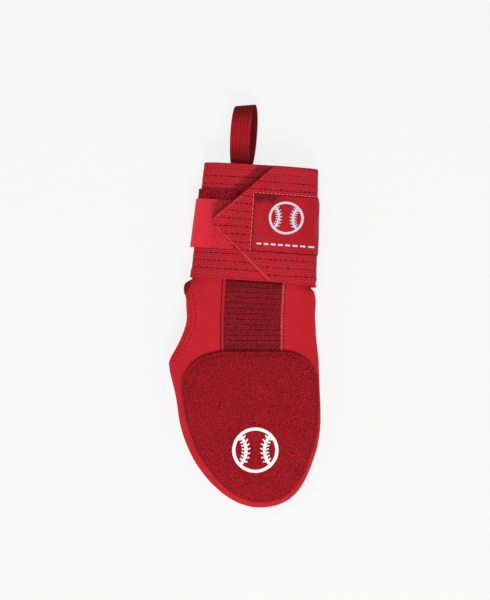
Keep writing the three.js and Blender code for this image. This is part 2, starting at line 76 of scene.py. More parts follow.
def ridge(distance: Array, width: float) -> Array:
    """Bell curve of height 1 over a line: e to the power of -(distance / width)^2."""
    return np.exp(-((distance / width) ** 2))


def lerp(start: Array, end: Array, share: Array) -> Array:
    """Straight blend from start to end."""
    return start + (end - start) * share


def crowded(start: float, end: float, step: float, rim: float = 1.2) -> Array:
    """Places from start to end, step apart, and closer within rim of either end, where edges are rounded.

    Args:
        start: First place.
        end: Last place.
        step: Spacing in the middle.
        rim: Length at each end that is divided finer.

    Returns:
        The places in order.
    """
    fine = np.array([0.0, 0.06, 0.2, 0.42, 0.7]) * rim
    count = max(int(round((end - start - 2 * rim) / (step * COARSE))), 1)
    middle = np.linspace(start + rim, end - rim, count + 1)
    return np.concatenate([start + fine, middle, end - fine[::-1]])


def speckle(x: Array, y: Array, size: float, seed: int) -> Array:
    """Random heights from -1 to 1 on a square lattice, blended smoothly between its corners.

    Args:
        x: First coordinate.
        y: Second coordinate.
        size: Lattice spacing.
        seed: Start of the random numbers.

    Returns:
        A height for each place.
    """
    side, offset = 257, 1000.0
    table = np.random.default_rng(seed).uniform(-1.0, 1.0, (side, side))
    gx, gy = x / size + offset, y / size + offset
    ix, iy = np.floor(gx).astype(int), np.floor(gy).astype(int)
    tx, ty = smooth(gx - ix, 0.0, 1.0), smooth(gy - iy, 0.0, 1.0)
    low = lerp(table[ix % side, iy % side], table[(ix + 1) % side, iy % side], tx)
    high = lerp(table[ix % side, (iy + 1) % side], table[(ix + 1) % side, (iy + 1) % side], tx)
    return lerp(low, high, ty)


def uneven(x: Array, y: Array, seed: int, *layers: tuple[float, float]) -> Array:
    """Sum of layers of random heights, each given by its height and its size."""
    return sum(height * speckle(x, y, size, seed + i) for i, (height, size) in enumerate(layers))


def runs(points: Array, axis: int) -> Array:
    """Length travelled from the first point along an axis of a grid of points.

    Args:
        points: The grid.
        axis: The axis to travel along.

    Returns:
        The length at each point.
    """
    legs = np.linalg.norm(np.diff(points, axis=axis), axis=-1)
    start = np.zeros_like(np.take(legs, [0], axis=axis))
    return np.concatenate([start, np.cumsum(legs, axis=axis)], axis=axis)


def unit(vectors: Array) -> Array:
    """Vectors scaled to length 1."""
    return vectors / np.maximum(np.linalg.norm(vectors, axis=-1, keepdims=True), 1e-12)


def sampled(path: Array, distance: Array, at: Array) -> Array:
    """Points of a path at distances along it."""
    return np.stack([np.interp(at, distance, column) for column in path.T], axis=-1)


class Slot(Enum):
    """Material slots of the part's record."""

    SHELL = "foam_jersey"
    STRETCH = "ribbed_elastic"
    PAD = "fuzzy_pad"
    STRAP = "strap_elastic"
    PILE = "loop_pile"
    TAB = "smooth_tab"
    LABEL = "satin_label"
    LOOP = "webbing"
    PAD_PRINT = "white_print"
    LABEL_PRINT = "silver_thread"


@dataclass(frozen=True)
class Pouch:
    """Form of the stuffed hand, on which every other piece lies."""

    length: float = 274.0
    palm_width: float = 121.4
    depth: float = 33.0
    wall: float = 3.0
    seam_height: float = 14.0
    arch_length: float = 76.0
    toe_length: float = 21.0
    palm_settle: float = 3.0
    cuff_turn: float = math.radians(3.7)
    clearance: float = 0.3
    thumb_start: float = 115.5
    thumb_length: float = 61.5
    thumb_depth: float = 10.8
    thumb_roundness: float = 1.25
    thumb_cuts: tuple[tuple[float, float, float], ...] = (
        (0.15, 115.5, 4.0), (1.4, 152.0, 8.5), (1.7, 165.5, 6.5),
    )
    cuff_lift: float = 2.3
    waist: float = 186.0
    waist_draw: float = 1.9
    waist_fade: tuple[float, float] = (5.5, 2.5)
    crown: float = 2.5
    palm_crown: float = 3.2
    turn_start: float = 0.5
    turn_end: float = 0.64
    lift_start: float = 0.6
    strap_width: float = 92.0
    strap_thickness: float = 2.0
    station: tuple[float, ...] = (
        0, 0.084, 0.131, 0.178, 0.237, 0.331, 0.425, 0.472, 0.519, 0.566, 0.613, 0.6485, 0.676, 0.735, 1,
    )
    shift: tuple[float, ...] = (
        0.063, 0.031, 0.0125, 0.004, -0.009, -0.028, -0.055, -0.058, -0.056, -0.051, -0.036, -0.024, -0.013,
        -0.011, -0.0075,
    )
    width: tuple[float, ...] = (
        0.949, 0.908, 0.915, 0.924, 0.936, 0.965, 1, 0.985, 0.962, 0.94, 0.91, 0.857, 0.786, 0.765, 0.702,
    )
    thick: tuple[float, ...] = (
        0.74, 0.8, 0.85, 0.9, 0.95, 1, 0.99, 0.97, 0.95, 0.93, 0.915, 0.905, 0.9, 0.9, 0.87,
    )

    @property
    def strap_start(self) -> float:
        """Distance from the fingertips to the strap's lower edge."""
        return self.length - self.strap_width

    @property
    def panel_end(self) -> float:
        """Distance from the fingertips to the panels' end in the mouth."""
        return self.length - 1.0

    def profile(self, values: tuple[float, ...], along: Array) -> Array:
        """One column of the section table, as cubic Hermite pieces with central slopes.

        Args:
            values: The column.
            along: Distance from the fingertips.

        Returns:
            The column's value at each distance.
        """
        stations, column = np.array(self.station), np.array(values)
        ahead = np.minimum(np.arange(len(column)) + 1, len(column) - 1)
        behind = np.maximum(np.arange(len(column)) - 1, 0)
        slope = (column[ahead] - column[behind]) / (stations[ahead] - stations[behind])
        s = np.clip(np.asarray(along, float) / self.length, 0.0, 1.0)
        i = np.clip(np.searchsorted(stations, s, side="left") - 1, 0, len(column) - 2)
        span = stations[i + 1] - stations[i]
        t = (s - stations[i]) / span
        return (
            column[i] * (1 + 2 * t) * (1 - t) ** 2
            + column[i + 1] * t * t * (3 - 2 * t)
            + slope[i] * span * t * (1 - t) ** 2
            - slope[i + 1] * span * t * t * (1 - t)
        )

    def spine(self, along: Array) -> tuple[Array, Array, Array]:
        """Middle line in plan: straight, then an arc that turns the wrist, then straight again.

        Args:
            along: Distance from the fingertips.

        Returns:
            x, y and the turn at each distance.
        """
        start = self.turn_start * self.length
        arc = (self.turn_end - self.turn_start) * self.length
        turn = np.clip((along - start) / arc, 0.0, 1.0) * self.cuff_turn
        radius = arc / self.cuff_turn
        rest = np.maximum(along - start - arc, 0.0)
        x = radius * (1 - np.cos(turn)) + rest * np.sin(turn)
        y = np.minimum(along, start) + radius * np.sin(turn) - self.length / 2 + rest * np.cos(turn)
        return x, y, turn

    def section(self, along: Array) -> tuple[Array, Array]:
        """Middle and half width of the section, the half width rounded off over the fingertips.

        Args:
            along: Distance from the fingertips.

        Returns:
            The middle's place across, and half the width.
        """
        arch = round_end(np.asarray(along, float) / self.arch_length)
        return self.profile(self.shift, along) * self.palm_width, (
            self.profile(self.width, along) * self.palm_width * arch / 2
        )

    def across(self, angle: Array, along: Array) -> Array:
        """Place across the pouch of an angle round it: middle + half width * cos^(2 / crown).

        Args:
            angle: Angles round the pouch.
            along: Distances from the fingertips.

        Returns:
            Places across.
        """
        middle, half = self.section(along)
        crown = np.where(np.sin(angle) > 0, self.crown, self.palm_crown)
        return middle + half * power(np.cos(angle), 2 / crown)

    def face(self, angle: Array, along: Array, gap: float = 0.0) -> Array:
        """Point of the outer face: a squared ellipse round the spine, flat where it rests.

        Args:
            angle: 0 is the little-finger seam, pi / 2 the back, pi the thumb seam, 3 pi / 2 the palm.
            along: Distance from the fingertips.
            gap: How far the half is moved off the seam.

        Returns:
            Points, in millimetres.
        """
        angle, along = np.broadcast_arrays(np.asarray(angle, float), np.asarray(along, float))
        x, y, turn = self.spine(along)
        toe = round_end(along / self.toe_length)
        lift = self.cuff_lift * smooth(along / self.length, self.lift_start, self.strap_start / self.length)
        rise = (self.profile(self.thick, along) * self.depth - self.seam_height) * toe
        drop = (self.seam_height - lift + self.palm_settle) * toe
        floor = self.seam_height - (self.seam_height - lift) * toe
        s = np.sin(angle)
        upper = (s > 1e-12) | ((np.abs(s) <= 1e-12) & (gap > 0))
        size = np.abs(s)
        above = self.seam_height + gap + (rise - gap) * size ** (2 / self.crown)
        below = self.seam_height + gap - (drop + gap) * size ** (2 / self.palm_crown)
        across = self.across(angle, along)
        z = np.where(upper, above, np.maximum(floor, below))
        return np.stack([x + across * np.cos(turn), y - across * np.sin(turn), z], axis=-1)

    def outward(self, angle: Array, along: Array) -> Array:
        """Unit vector out of the face: the cross product of its two slopes, each a central difference.

        Args:
            angle: Angles round the pouch.
            along: Distances from the fingertips.

        Returns:
            The unit vectors.
        """
        angle, along = np.broadcast_arrays(np.asarray(angle, float), np.asarray(along, float))
        around = self.face(angle + 1e-3, along) - self.face(angle - 1e-3, along)
        reach = np.maximum(along, 0.5)
        forward = self.face(angle, reach + 0.5) - self.face(angle, reach - 0.5)
        normal = unit(np.cross(forward, around))
        tip = smooth(along, 0.0, 1.5)[..., None]
        return unit(normal * tip + np.array([0.0, -1.0, 0.0]) * (1 - tip))

    def lifted(self, angle: Array, along: Array, height: Array | float) -> tuple[Array, Array]:
        """Points at a height over the outer face, and the unit vectors out of it."""
        normal = self.outward(angle, along)
        return self.face(angle, along) + normal * np.asarray(height)[..., None], normal

    def angle_across(self, across: Array, along: Array, crown: float = 2.5) -> Array:
        """Angle of a place across the back or palm: the inverse of the squared ellipse.

        Args:
            across: Place across the pouch.
            along: Distance from the fingertips.
            crown: Roundness of the half, the back's or the palm's.

        Returns:
            The angle, from 0 to pi.
        """
        middle, half = self.section(along)
        share = np.clip((across - middle) / np.maximum(half, 1e-6), -1.0, 1.0)
        return np.arccos(power(share, crown / 2))

    def thumb_edge(self, along: Array) -> Array:
        """Thumb hole's edge across: the outline, cut in by a sine hump to a power, and by bell curves.

        Args:
            along: Distances from the fingertips.

        Returns:
            The edge's place across.
        """
        middle, half = self.section(along)
        t = np.clip((along - self.thumb_start) / self.thumb_length, 0.0, 1.0)
        edge = middle - half + self.thumb_depth * np.abs(np.sin(math.pi * t)) ** self.thumb_roundness
        for depth, place, width in self.thumb_cuts:
            edge = edge + depth * ridge(along - place, width)
        return edge

    def squeeze(self, angle: Array, along: Array) -> Array:
        """How far the strap draws the sides in: the widening under its edge, up to a limit, times cos^2.

        Args:
            angle: Angles round the pouch.
            along: Distances from the fingertips.

        Returns:
            The depth, in millimetres.
        """
        spread = self.section(along)[1] - self.section(np.array(self.waist))[1]
        low, high = (self.strap_start - below for below in self.waist_fade)
        return np.clip(spread, 0.0, self.waist_draw) * smooth(along, low, high) * np.cos(angle) ** 2

    def girth(self, angle: Array, along: float) -> Array:
        """Length round the pouch from angle 0, read off its outline at one distance along.

        Args:
            angle: Angles round the pouch.
            along: Distance from the fingertips.

        Returns:
            The length at each angle.
        """
        trial = np.linspace(-1.0, 2 * TURN, 6000)
        length = runs(self.face(trial, np.full_like(trial, along)), 0)
        return np.interp(angle, trial, length) - np.interp(0.0, trial, length)

    def spaced(self, first: float, last: float, along: float, step: float, count: int = 3000) -> Array:
        """Angles a step apart in length round the pouch, read off a count of trial angles.

        Args:
            first: First angle.
            last: Last angle.
            along: Distance from the fingertips.
            step: Spacing round the pouch.
            count: Number of trial angles.

        Returns:
            The angles in order.
        """
        trial = np.linspace(first, last, count)
        length = runs(self.face(trial, np.full_like(trial, along)), 0)
        return np.interp(crowded(0.0, float(length[-1]), step), length, trial)

    def wrap(self, start: Edge, end: Edge, rows: Array, step: float) -> tuple[Array, Array]:
        """Grid of angles and distances for a piece wrapped round the pouch, even in length round it.

        Args:
            start: Angle of its first edge at each distance along.
            end: Angle of its last edge.
            rows: Distances along.
            step: Spacing round the pouch.

        Returns:
            The grid's angles and its distances along.
        """
        middle = np.array([(rows[0] + rows[-1]) / 2])
        first, last = start(middle)[0], end(middle)[0]
        share = (self.spaced(first, last, middle[0], step) - first) / (last - first)
        along = np.repeat(rows[:, None], len(share), axis=1)
        return start(along) + (end(along) - start(along)) * share, along


POUCH = Pouch()


@dataclass
class Sheet:
    """A closed cloth piece between two grids of points, with what its material reads."""

    outer: Array
    inner: Array
    uv: Array
    keep: Array | None = None
    round: bool = False
    marks: dict[str, Array] = field(default_factory=dict)

    def faces(self) -> Array:
        """Quads of both grids and of the walls round the cells that are kept.

        Returns:
            Rows of four indices.
        """
        rows, columns = self.outer.shape[0] - 1, self.outer.shape[1] - 1
        keep = np.ones((rows, columns), bool) if self.keep is None else self.keep
        index = np.arange((rows + 1) * (columns + 1)).reshape(rows + 1, columns + 1)
        low = index + index.size
        corners = [index[:-1, :-1], index[:-1, 1:], index[1:, 1:], index[1:, :-1]]
        under = [low[:-1, :-1], low[:-1, 1:], low[1:, 1:], low[1:, :-1]]
        quads = [
            np.stack([c[keep] for c in corners], axis=-1),
            np.stack([c[keep] for c in under[::-1]], axis=-1),
        ]
        padded = np.pad(keep, 1)
        if self.round:
            padded[:, 0], padded[:, -1] = True, True
        near = [padded[:-2, 1:-1], padded[1:-1, 2:], padded[2:, 1:-1], padded[1:-1, :-2]]
        for i, neighbour in enumerate(near):
            edge = keep & ~neighbour
            j = (i + 1) % 4
            quads.append(
                np.stack([corners[j][edge], corners[i][edge], under[i][edge], under[j][edge]], axis=-1)
            )
        return np.concatenate(quads)

    def build(self, name: str) -> bpy.types.Object:
        """Mesh of the piece, with its poles closed and its faces outwards.

        Args:
            name: The piece's name.

        Returns:
            The piece, in the scene.
        """
        points = np.concatenate([self.outer.reshape(-1, 3), self.inner.reshape(-1, 3)]) * MM
        uv = np.concatenate([self.uv.reshape(-1, 2)] * 2) * MM
        marks = {key: np.concatenate([mark.reshape(-1)] * 2) for key, mark in self.marks.items()}
        return make_mesh(name, points, self.faces(), uv, marks)


def add_object(name: str, data: bpy.types.ID) -> bpy.types.Object:
    """Object that holds this data, in the scene.

    Args:
        name: The object's name.
        data: Its mesh, light or camera.

    Returns:
        The object.
    """
    thing = bpy.data.objects.new(name, data)
    bpy.context.scene.collection.objects.link(thing)
    return thing


def make_mesh(
    name: str, points: Array, faces: Array, uv: Array | None = None, marks: dict[str, Array] | None = None
) -> bpy.types.Object:
    """Object from arrays: unused points go, equal ones are merged, and the faces point outwards.

    Args:
        name: The object's name.
        points: Points in metres.
        faces: Quads, as rows of four indices.
        uv: Cloth coordinates of the points, in metres.
        marks: Numbers that a material reads, by name, one for each point.

    Returns:
        The object, in the scene.
    """
    a, b, c, d = (points[faces[:, i]] for i in range(4))
    volume = (a * (np.cross(b, c) + np.cross(c, d))).sum()
    faces = faces if volume > 0 else faces[:, ::-1]
    used, faces = np.unique(faces, return_inverse=True)
    faces = faces.reshape(-1, 4)
    mesh = bpy.data.meshes.new(name)
    mesh.from_pydata(points[used].tolist(), [], faces.tolist())
    if uv is not None:
        layer = mesh.uv_layers.new(name="cloth")
        layer.data.foreach_set("uv", uv[used][faces.reshape(-1)].reshape(-1))
    for key, mark in (marks or {}).items():
        attribute = mesh.attributes.new(key, "FLOAT", "POINT")
        attribute.data.foreach_set("value", mark[used])
    tidy = bmesh.new()
    tidy.from_mesh(mesh)
    bmesh.ops.remove_doubles(tidy, verts=tidy.verts, dist=2e-6)
    tidy.to_mesh(mesh)
    tidy.free()
    mesh.polygons.foreach_set("use_smooth", np.ones(len(mesh.polygons), bool))
    mesh.set_sharp_from_angle(angle=math.radians(60))
    return add_object(name, mesh)


@dataclass
class Laid:
    """A cloth piece laid on the pouch: a grid of angles and distances, and the heights of its two faces."""

    angle: Array
    along: Array
    low: Array | float
    high: Array | float
    rim: float = 0.6
    gap: float = 0.0
    free: tuple[bool, bool, bool, bool] = (True, True, True, True)
    border: Array | None = None
    girth_at: float = 228.0

    def __post_init__(self) -> None:
        """Work out the face under the piece and how far each point is from the piece's free edges."""
        self.base = POUCH.face(self.angle, self.along, self.gap)
        self.normal = POUCH.outward(self.angle, self.along)
        rows, columns = runs(self.base, 0), runs(self.base, 1)
        ends = [rows, rows[-1:] - rows, columns, columns[:, -1:] - columns]
        far = np.full(self.angle.shape, 1e3)
        edges = [end if free else far for end, free in zip(ends, self.free)]
        self.edge = np.minimum.reduce(edges + [far if self.border is None else self.border])
        self.area = self._area()

    def _area(self) -> float:
        """Area of the cut cloth in square metres, from the grid's quads.

        Returns:
            The area.
        """
        across = np.diff(self.base, axis=1)[:-1]
        forward = np.diff(self.base, axis=0)[:, :-1]
        return float(np.linalg.norm(np.cross(across, forward), axis=-1).sum()) * MM * MM

    def sheet(self, relief: Array | float = 0.0, uv: Array | None = None, **more: object) -> Sheet:
        """Closed piece, its edges rounded by a quarter circle of the rim's size, with relief added on top.

        Args:
            relief: Height added to the outer face.
            uv: Cloth coordinates; the length round the pouch and the distance along if not given.
            more: What else the sheet holds.

        Returns:
            The piece, ready to build.
        """
        dip = self.rim * (1 - round_end(self.edge / self.rim))
        top = (self.high + relief - dip)[..., None]
        under = (self.low + dip)[..., None]
        if uv is None:
            uv = np.stack([POUCH.girth(self.angle, self.girth_at), self.along], axis=-1)
        return Sheet(self.base + self.normal * top, self.base + self.normal * under, uv, **more)


def operator(operation: str, reflected: bool = False) -> Callable:
    """Method that joins a signal and another value by a math node."""
    return lambda signal, other: signal.math(operation, other, reflected=reflected)


class Signal:
    """A number, vector or colour that runs through a material's nodes, with Python's operators on it."""

    def __init__(self, board: "Board", socket: bpy.types.NodeSocket) -> None:
        """Hold a node's output on its board."""
        self.board = board
        self.socket = socket

    def math(self, operation: str, *others: "Signal | float", reflected: bool = False) -> "Signal":
        """Math node of an operation on this and the other values.

        Args:
            operation: The node's operation.
            others: The other values.
            reflected: Whether this value comes last.

        Returns:
            The result.
        """
        values = (*others, self) if reflected else (self, *others)
        node = self.board.node("ShaderNodeMath", {"operation": operation}, dict(enumerate(values)))
        return Signal(self.board, node.outputs[0])

    __add__, __radd__ = operator("ADD"), operator("ADD", reflected=True)
    __sub__, __rsub__ = operator("SUBTRACT"), operator("SUBTRACT", reflected=True)
    __mul__, __rmul__ = operator("MULTIPLY"), operator("MULTIPLY", reflected=True)
    __truediv__, __rtruediv__ = operator("DIVIDE"), operator("DIVIDE", reflected=True)

    def size(self) -> "Signal":
        """Value without its sign."""
        return self.math("ABSOLUTE")

    def wave(self, pitch: float) -> "Signal":
        """Cosine wave from 0 to 1 that repeats every pitch, highest at 0."""
        return (self * (TURN / pitch)).math("COSINE") * 0.5 + 0.5

    def saw(self, pitch: float) -> "Signal":
        """Share of the way from one multiple of pitch to the next."""
        return (self / pitch).math("FRACT")

    def rise(self, low: float, high: float) -> "Signal":
        """0 below low, 1 above high, and smooth between, falling instead where high is under low.

        Args:
            low: Where it is 0.
            high: Where it is 1.

        Returns:
            The share.
        """
        settings = {"interpolation_type": "SMOOTHSTEP", "clamp": True}
        falling = low > high
        inputs = {0: self, 1: min(low, high), 2: max(low, high), 3: float(falling), 4: float(not falling)}
        return Signal(self.board, self.board.node("ShaderNodeMapRange", settings, inputs).outputs[0])


class Board:
    """A material's nodes."""

    def __init__(self, name: str) -> None:
        """Start an empty material.

        Args:
            name: The material's name.
        """
        self.material = bpy.data.materials.new(name)
        self.material.use_nodes = True
        self.tree = self.material.node_tree
        self.tree.nodes.clear()
        self.object_places = self.node("ShaderNodeTexCoord").outputs["Object"]

    def node(self, kind: str, settings: dict | None = None, inputs: dict | None = None) -> bpy.types.Node:
        """Add a node.

        Args:
            kind: The node's type.
            settings: Its own settings, put in first.
            inputs: Values or signals of its sockets, by name or number.

        Returns:
            The node.
        """
        node = self.tree.nodes.new(kind)
        for key, value in (settings or {}).items():
            setattr(node, key, value)
        for key, value in (inputs or {}).items():
            if isinstance(value, Signal):
                self.tree.links.new(value.socket, node.inputs[key])
            else:
                node.inputs[key].default_value = value
        return node

    def cloth(self) -> tuple[Signal, Signal]:
        """Length round the piece and along it, in millimetres, from its cloth coordinates.

        Returns:
            The two lengths.
        """
        uv = self.node("ShaderNodeUVMap", {"uv_map": "cloth"}).outputs[0]
        parts = self.node("ShaderNodeSeparateXYZ", inputs={0: Signal(self, uv)})
        return Signal(self, parts.outputs[0]) * 1000.0, Signal(self, parts.outputs[1]) * 1000.0

    def mark(self, name: str) -> Signal:
        """Number that the mesh carries under a name."""
        return Signal(self, self.node("ShaderNodeAttribute", {"attribute_name": name}).outputs["Fac"])

    def vector(self, x: Signal | float, y: Signal | float) -> Signal:
        """Vector of two values."""
        return Signal(self, self.node("ShaderNodeCombineXYZ", inputs={0: x, 1: y}).outputs[0])

    def noise(self, size: float, detail: float = 2.0, at: Signal | None = None) -> Signal:
        """Noise of about 0.5, with lumps of a size in millimetres on the object, or in at's own unit.

        Args:
            size: Size of a lump.
            detail: How many finer layers are added.
            at: Where it is read, if not at the object's own places.

        Returns:
            The noise.
        """
        scale = 1000.0 / size if at is None else 1.0 / size
        place = Signal(self, self.object_places) if at is None else at
        inputs = {"Vector": place, "Scale": scale, "Detail": detail, "Roughness": 0.6}
        return Signal(self, self.node("ShaderNodeTexNoise", inputs=inputs).outputs[0])

    def tone(self, colour: "Signal | tuple[float, float, float]", share: Signal) -> Signal:
        """Colour made lighter or darker by a share."""
        inputs = {0: colour, 3: share}
        return Signal(self, self.node("ShaderNodeVectorMath", {"operation": "SCALE"}, inputs).outputs[0])

    def mix(self, share: Signal, low: Signal, high: Signal) -> Signal:
        """Blend of two colours."""
        node = self.node("ShaderNodeMix", {"data_type": "RGBA"}, {0: share, 6: low, 7: high})
        return Signal(self, node.outputs[2])

    def close(self, values: dict) -> bpy.types.Material:
        """Material whose shader has these values.

        Args:
            values: Values or signals of the shader's sockets.

        Returns:
            The material.
        """
        shader = self.node("ShaderNodeBsdfPrincipled", inputs=values)
        self.tree.links.new(shader.outputs[0], self.node("ShaderNodeOutputMaterial").inputs[0])
        return self.material


def linear(colour: tuple[int, int, int]) -> tuple[float, float, float]:
    """Screen colour as the light it stands for: a straight line near black, a power of 2.4 over it.

    Args:
        colour: Red, green and blue.

    Returns:
        Red, green and blue light, from 0 to 1.
    """
    parts = np.array(colour) / 255.0
    light = np.where(parts <= 0.04045, parts / 12.92, ((parts + 0.055) / 1.055) ** 2.4)
    return tuple(float(x) for x in light)


@dataclass(frozen=True)
class Finish:
    """A cloth's name, colour and nap."""

    name: str
    colour: tuple[int, int, int]
    roughness: float = 0.8
    sheen: float = 0.1
    specular: float = 0.14

    def surface(self, board: Board) -> tuple[Signal, Signal]:
        """Colour, and height in millimetres: plain cloth with a fine grain."""
        grain = board.noise(0.8)
        return board.tone(linear(self.colour), grain * 0.3 + 0.85), grain * 0.1

    def make(self) -> bpy.types.Material:
        """Material with this finish.

        Returns:
            The material.
        """
        board = Board(self.name)
        colour, height = self.surface(board)
        inputs = {"Height": height, "Distance": MM, "Strength": 1.0}
        return board.close({
            "Base Color": colour,
            "Normal": Signal(board, board.node("ShaderNodeBump", inputs=inputs).outputs[0]),
            "Roughness": self.roughness,
            "Specular IOR Level": self.specular,
            "Sheen Weight": self.sheen,
            "Sheen Roughness": 0.5,
            "Sheen Tint": (*linear((240, 80, 90)), 1.0),
        })

    def dress(self, piece: bpy.types.Object) -> None:
        """Give the finish to a piece.

        Args:
            piece: The piece.
        """
        if self.name not in MADE:
            MADE[self.name] = self.make()
        piece.data.materials.clear()
        piece.data.materials.append(MADE[self.name])


@dataclass(frozen=True)
class Jersey(Finish):
    """Smooth knit face over foam: a very fine grain, and wide soft clouds of colour and height."""

    def surface(self, board: Board) -> tuple[Signal, Signal]:
        """A fine grain and wide clouds, summed for colour and for height.

        Args:
            board: The material's nodes.

        Returns:
            Colour, and height in millimetres.
        """
        grain, cloud = board.noise(0.9), board.noise(15.0, 1.0)
        colour = board.tone(linear(self.colour), grain * 0.42 + cloud * 0.24 + 0.67)
        return colour, grain * 0.16 + cloud * 0.3


@dataclass(frozen=True)
class Fuzz(Finish):
    """Brushed nap: tufts of about a millimetre, darker in their gaps."""

    tuft: float = 1.7
    contrast: float = 2.4

    def surface(self, board: Board) -> tuple[Signal, Signal]:
        """Tufts and a finer fibre noise, with wide clouds of brushing.

        Args:
            board: The material's nodes.

        Returns:
            Colour, and height in millimetres.
        """
        tuft, fibre, cloud = board.noise(self.tuft, 0.0), board.noise(0.7, 1.0), board.noise(13.0, 2.0)
        nap = tuft * 0.5 + fibre * 0.5
        shade = nap * self.contrast + cloud * 0.35 + (1.0 - self.contrast / 2 - 0.175)
        return board.tone(linear(self.colour), shade.math("MAXIMUM", 0.12)), nap * 1.5


@dataclass(frozen=True)
class RibbedElastic(Finish):
    """Dark stretch cloth of cross ribs and a slanting weave, between two lighter flanges."""

    pitch: float = 4.2
    lozenge: float = 2.05
    overlocked: tuple[int, int, int] = (196, 58, 70)
    plain: tuple[int, int, int] = (190, 34, 46)
    half: float = 22.4

    def surface(self, board: Board) -> tuple[Signal, Signal]:
        """A lozenge weave of two slanting waves, shaded by the ribs, with a flange past either side.

        Args:
            board: The material's nodes.

        Returns:
            Colour, and height in millimetres.
        """
        u, v = board.cloth()
        weave = (u + v).wave(self.lozenge) * (u - v).wave(self.lozenge)
        fade = board.noise(1.0, 1.0, board.vector(u * 0.06, v * 0.3)) * 0.8 + 0.1
        groove = (v - 0.3).wave(self.pitch).rise(0.7, 0.98) * fade
        speck = board.noise(0.9, 1.0)
        shade = weave * 1.9 + speck * 3.4 - groove * 1.2 - 1.02
        dark = board.tone(linear(self.colour), shade.math("MAXIMUM", 0.1) * (1 - board.mark("shade")))
        thread = (v + u * 0.8).wave(2.4)
        light = board.tone(linear(self.overlocked), thread * 0.7 + speck * 1.9 - 0.35)
        plain = board.tone(linear(self.plain), speck * 0.3 + 0.85)
        side = (u.size() - self.half).rise(0.0, 0.3)
        edge = board.mix(u.rise(-1.0, 1.0), plain, light)
        return board.mix(side, dark, edge), (weave * 0.35 - groove * 0.4) * (1 - side) + thread * side * 0.2


@dataclass(frozen=True)
class StrapElastic(Finish):
    """Woven elastic: fine ribs along the band, and rows of dark dashes where the rubber yarn is caught."""

    rib: float = 1.6
    row: float = 6.11
    first: float = 3.74
    dash: float = 3.9
    dash_half: tuple[float, float] = (1.36, 1.04)
    dash_height: tuple[float, float] = (0.58, 0.26)
    skip: float = 1.9
    dashed: tuple[float, float] = (187.0, 266.5)

    def surface(self, board: Board) -> tuple[Signal, Signal]:
        """Ribs broken into knots, less the dashes, all under the shade that the piece is marked with.

        Args:
            board: The material's nodes.

        Returns:
            Colour, and height in millimetres.
        """
        u, v = board.cloth()
        rib = v.wave(self.rib)
        knot = board.noise(1.0, 1.0, board.vector(u * 0.8, v * 1.05))
        fibre = board.noise(1.0, 1.0, board.vector(u * 1.5, v * 1.5))
        over = v - self.first
        line = (over.saw(self.row) - 0.5).size() * self.row
        turn = (over / self.row).math("FLOOR") * self.skip
        drift = board.noise(1.0, 0.0, board.vector(u * 0.06, v * 0.15)) * 3.0
        stitch = ((u + turn + drift).saw(self.dash) - 0.5).size() * self.dash
        low, high = self.dashed
        between = v.rise(low - 1.0, low + 1.0) * v.rise(high + 1.0, high - 1.0)
        dash = stitch.rise(*self.dash_half) * line.rise(*self.dash_height) * between
        held = board.noise(1.0, 0.0, board.vector(u * 0.23, v * 0.17 + 40.0)).rise(0.34, 0.66) * 0.66 + 0.06
        shade = rib * 0.42 + knot * 1.3 + fibre * 1.1 - line.rise(0.9, 0.3) * 0.14 - 0.36
        colour = board.tone(linear(self.colour), shade * (1 - dash * held) * (1 - board.mark("shade")))
        return colour, rib * 0.25 + knot * 0.25 - dash * 0.4


@dataclass(frozen=True)
class SmoothTape(Finish):
    """Close, smooth tape, rough where its hooks show past the flap, and darker towards the flap by painted
    shade.
    """

    def surface(self, board: Board) -> tuple[Signal, Signal]:
        """A fine grain and wide clouds, with coarse specks and painted shade, darker on average, where the
        piece is marked.

        Args:
            board: The material's nodes.

        Returns:
            Colour, and height in millimetres.
        """
        grain, cloud = board.noise(0.8), board.noise(14.0, 1.0)
        speck, hooks_and_shade = board.noise(0.95, 1.0), board.mark("hooks_and_shade")
        # Where marked, the specks darken the tape on average: painted shade as well as the hooks' mottle.
        shade = grain * 0.26 + cloud * 0.2 + 0.77 + hooks_and_shade * (speck * 1.7 - 1.1)
        colour = board.tone(linear(self.colour), shade * (1 - board.mark("shade")))
        return colour, grain * 0.05 + speck * hooks_and_shade * 0.3


@dataclass(frozen=True)
class Satin(Finish):
    """Label cloth: fine weft lines that catch the light, a soft darker patch of painted shade in the creased
    corner, and a painted shadow along its left edge.
    """

    def surface(self, board: Board) -> tuple[Signal, Signal]:
        """Weft lines, grain and wide clouds, darkened by painted shade where the piece is marked.

        Args:
            board: The material's nodes.

        Returns:
            Colour, and height in millimetres.
        """
        u, v = board.cloth()
        weft = v.wave(0.8)
        grain, cloud = board.noise(0.7), board.noise(9.0, 1.5)
        shade = weft * 0.08 + grain * 0.35 + cloud * 0.5 + 0.54
        # Painted shade in the crease and a painted shadow along the left edge, carried by the mark.
        shade = shade * (1 - board.mark("crease_and_shade") * 0.62)
        return board.tone(linear(self.colour), shade), weft * 0.03 + grain * 0.04 + cloud * 0.5


@dataclass(frozen=True)
class Webbing(Finish):
    """Herringbone webbing: slanting yarns that turn back at each column."""

    column: float = 2.7
    yarn: float = 1.5

    def surface(self, board: Board) -> tuple[Signal, Signal]:
        """A wave along the band, shifted by a zigzag across it, with dark lines between the columns.

        Args:
            board: The material's nodes.

        Returns:
            Colour, and height in millimetres.
        """
        u, v = board.cloth()
        zigzag = (u.saw(self.column * 2) - 0.5).size() * 2.0
        weave = (v + zigzag * 1.6).wave(self.yarn)
        seam = ((u.saw(self.column) - 0.5).size() * 2.0).rise(0.72, 1.0)
        speck = board.noise(0.6, 1.0)
        shade = weave * 1.0 + speck * 1.5 - seam * 0.35 - 0.17
        return board.tone(linear(self.colour), shade * (1 - board.mark("shade"))), weave * 0.32 - seam * 0.2


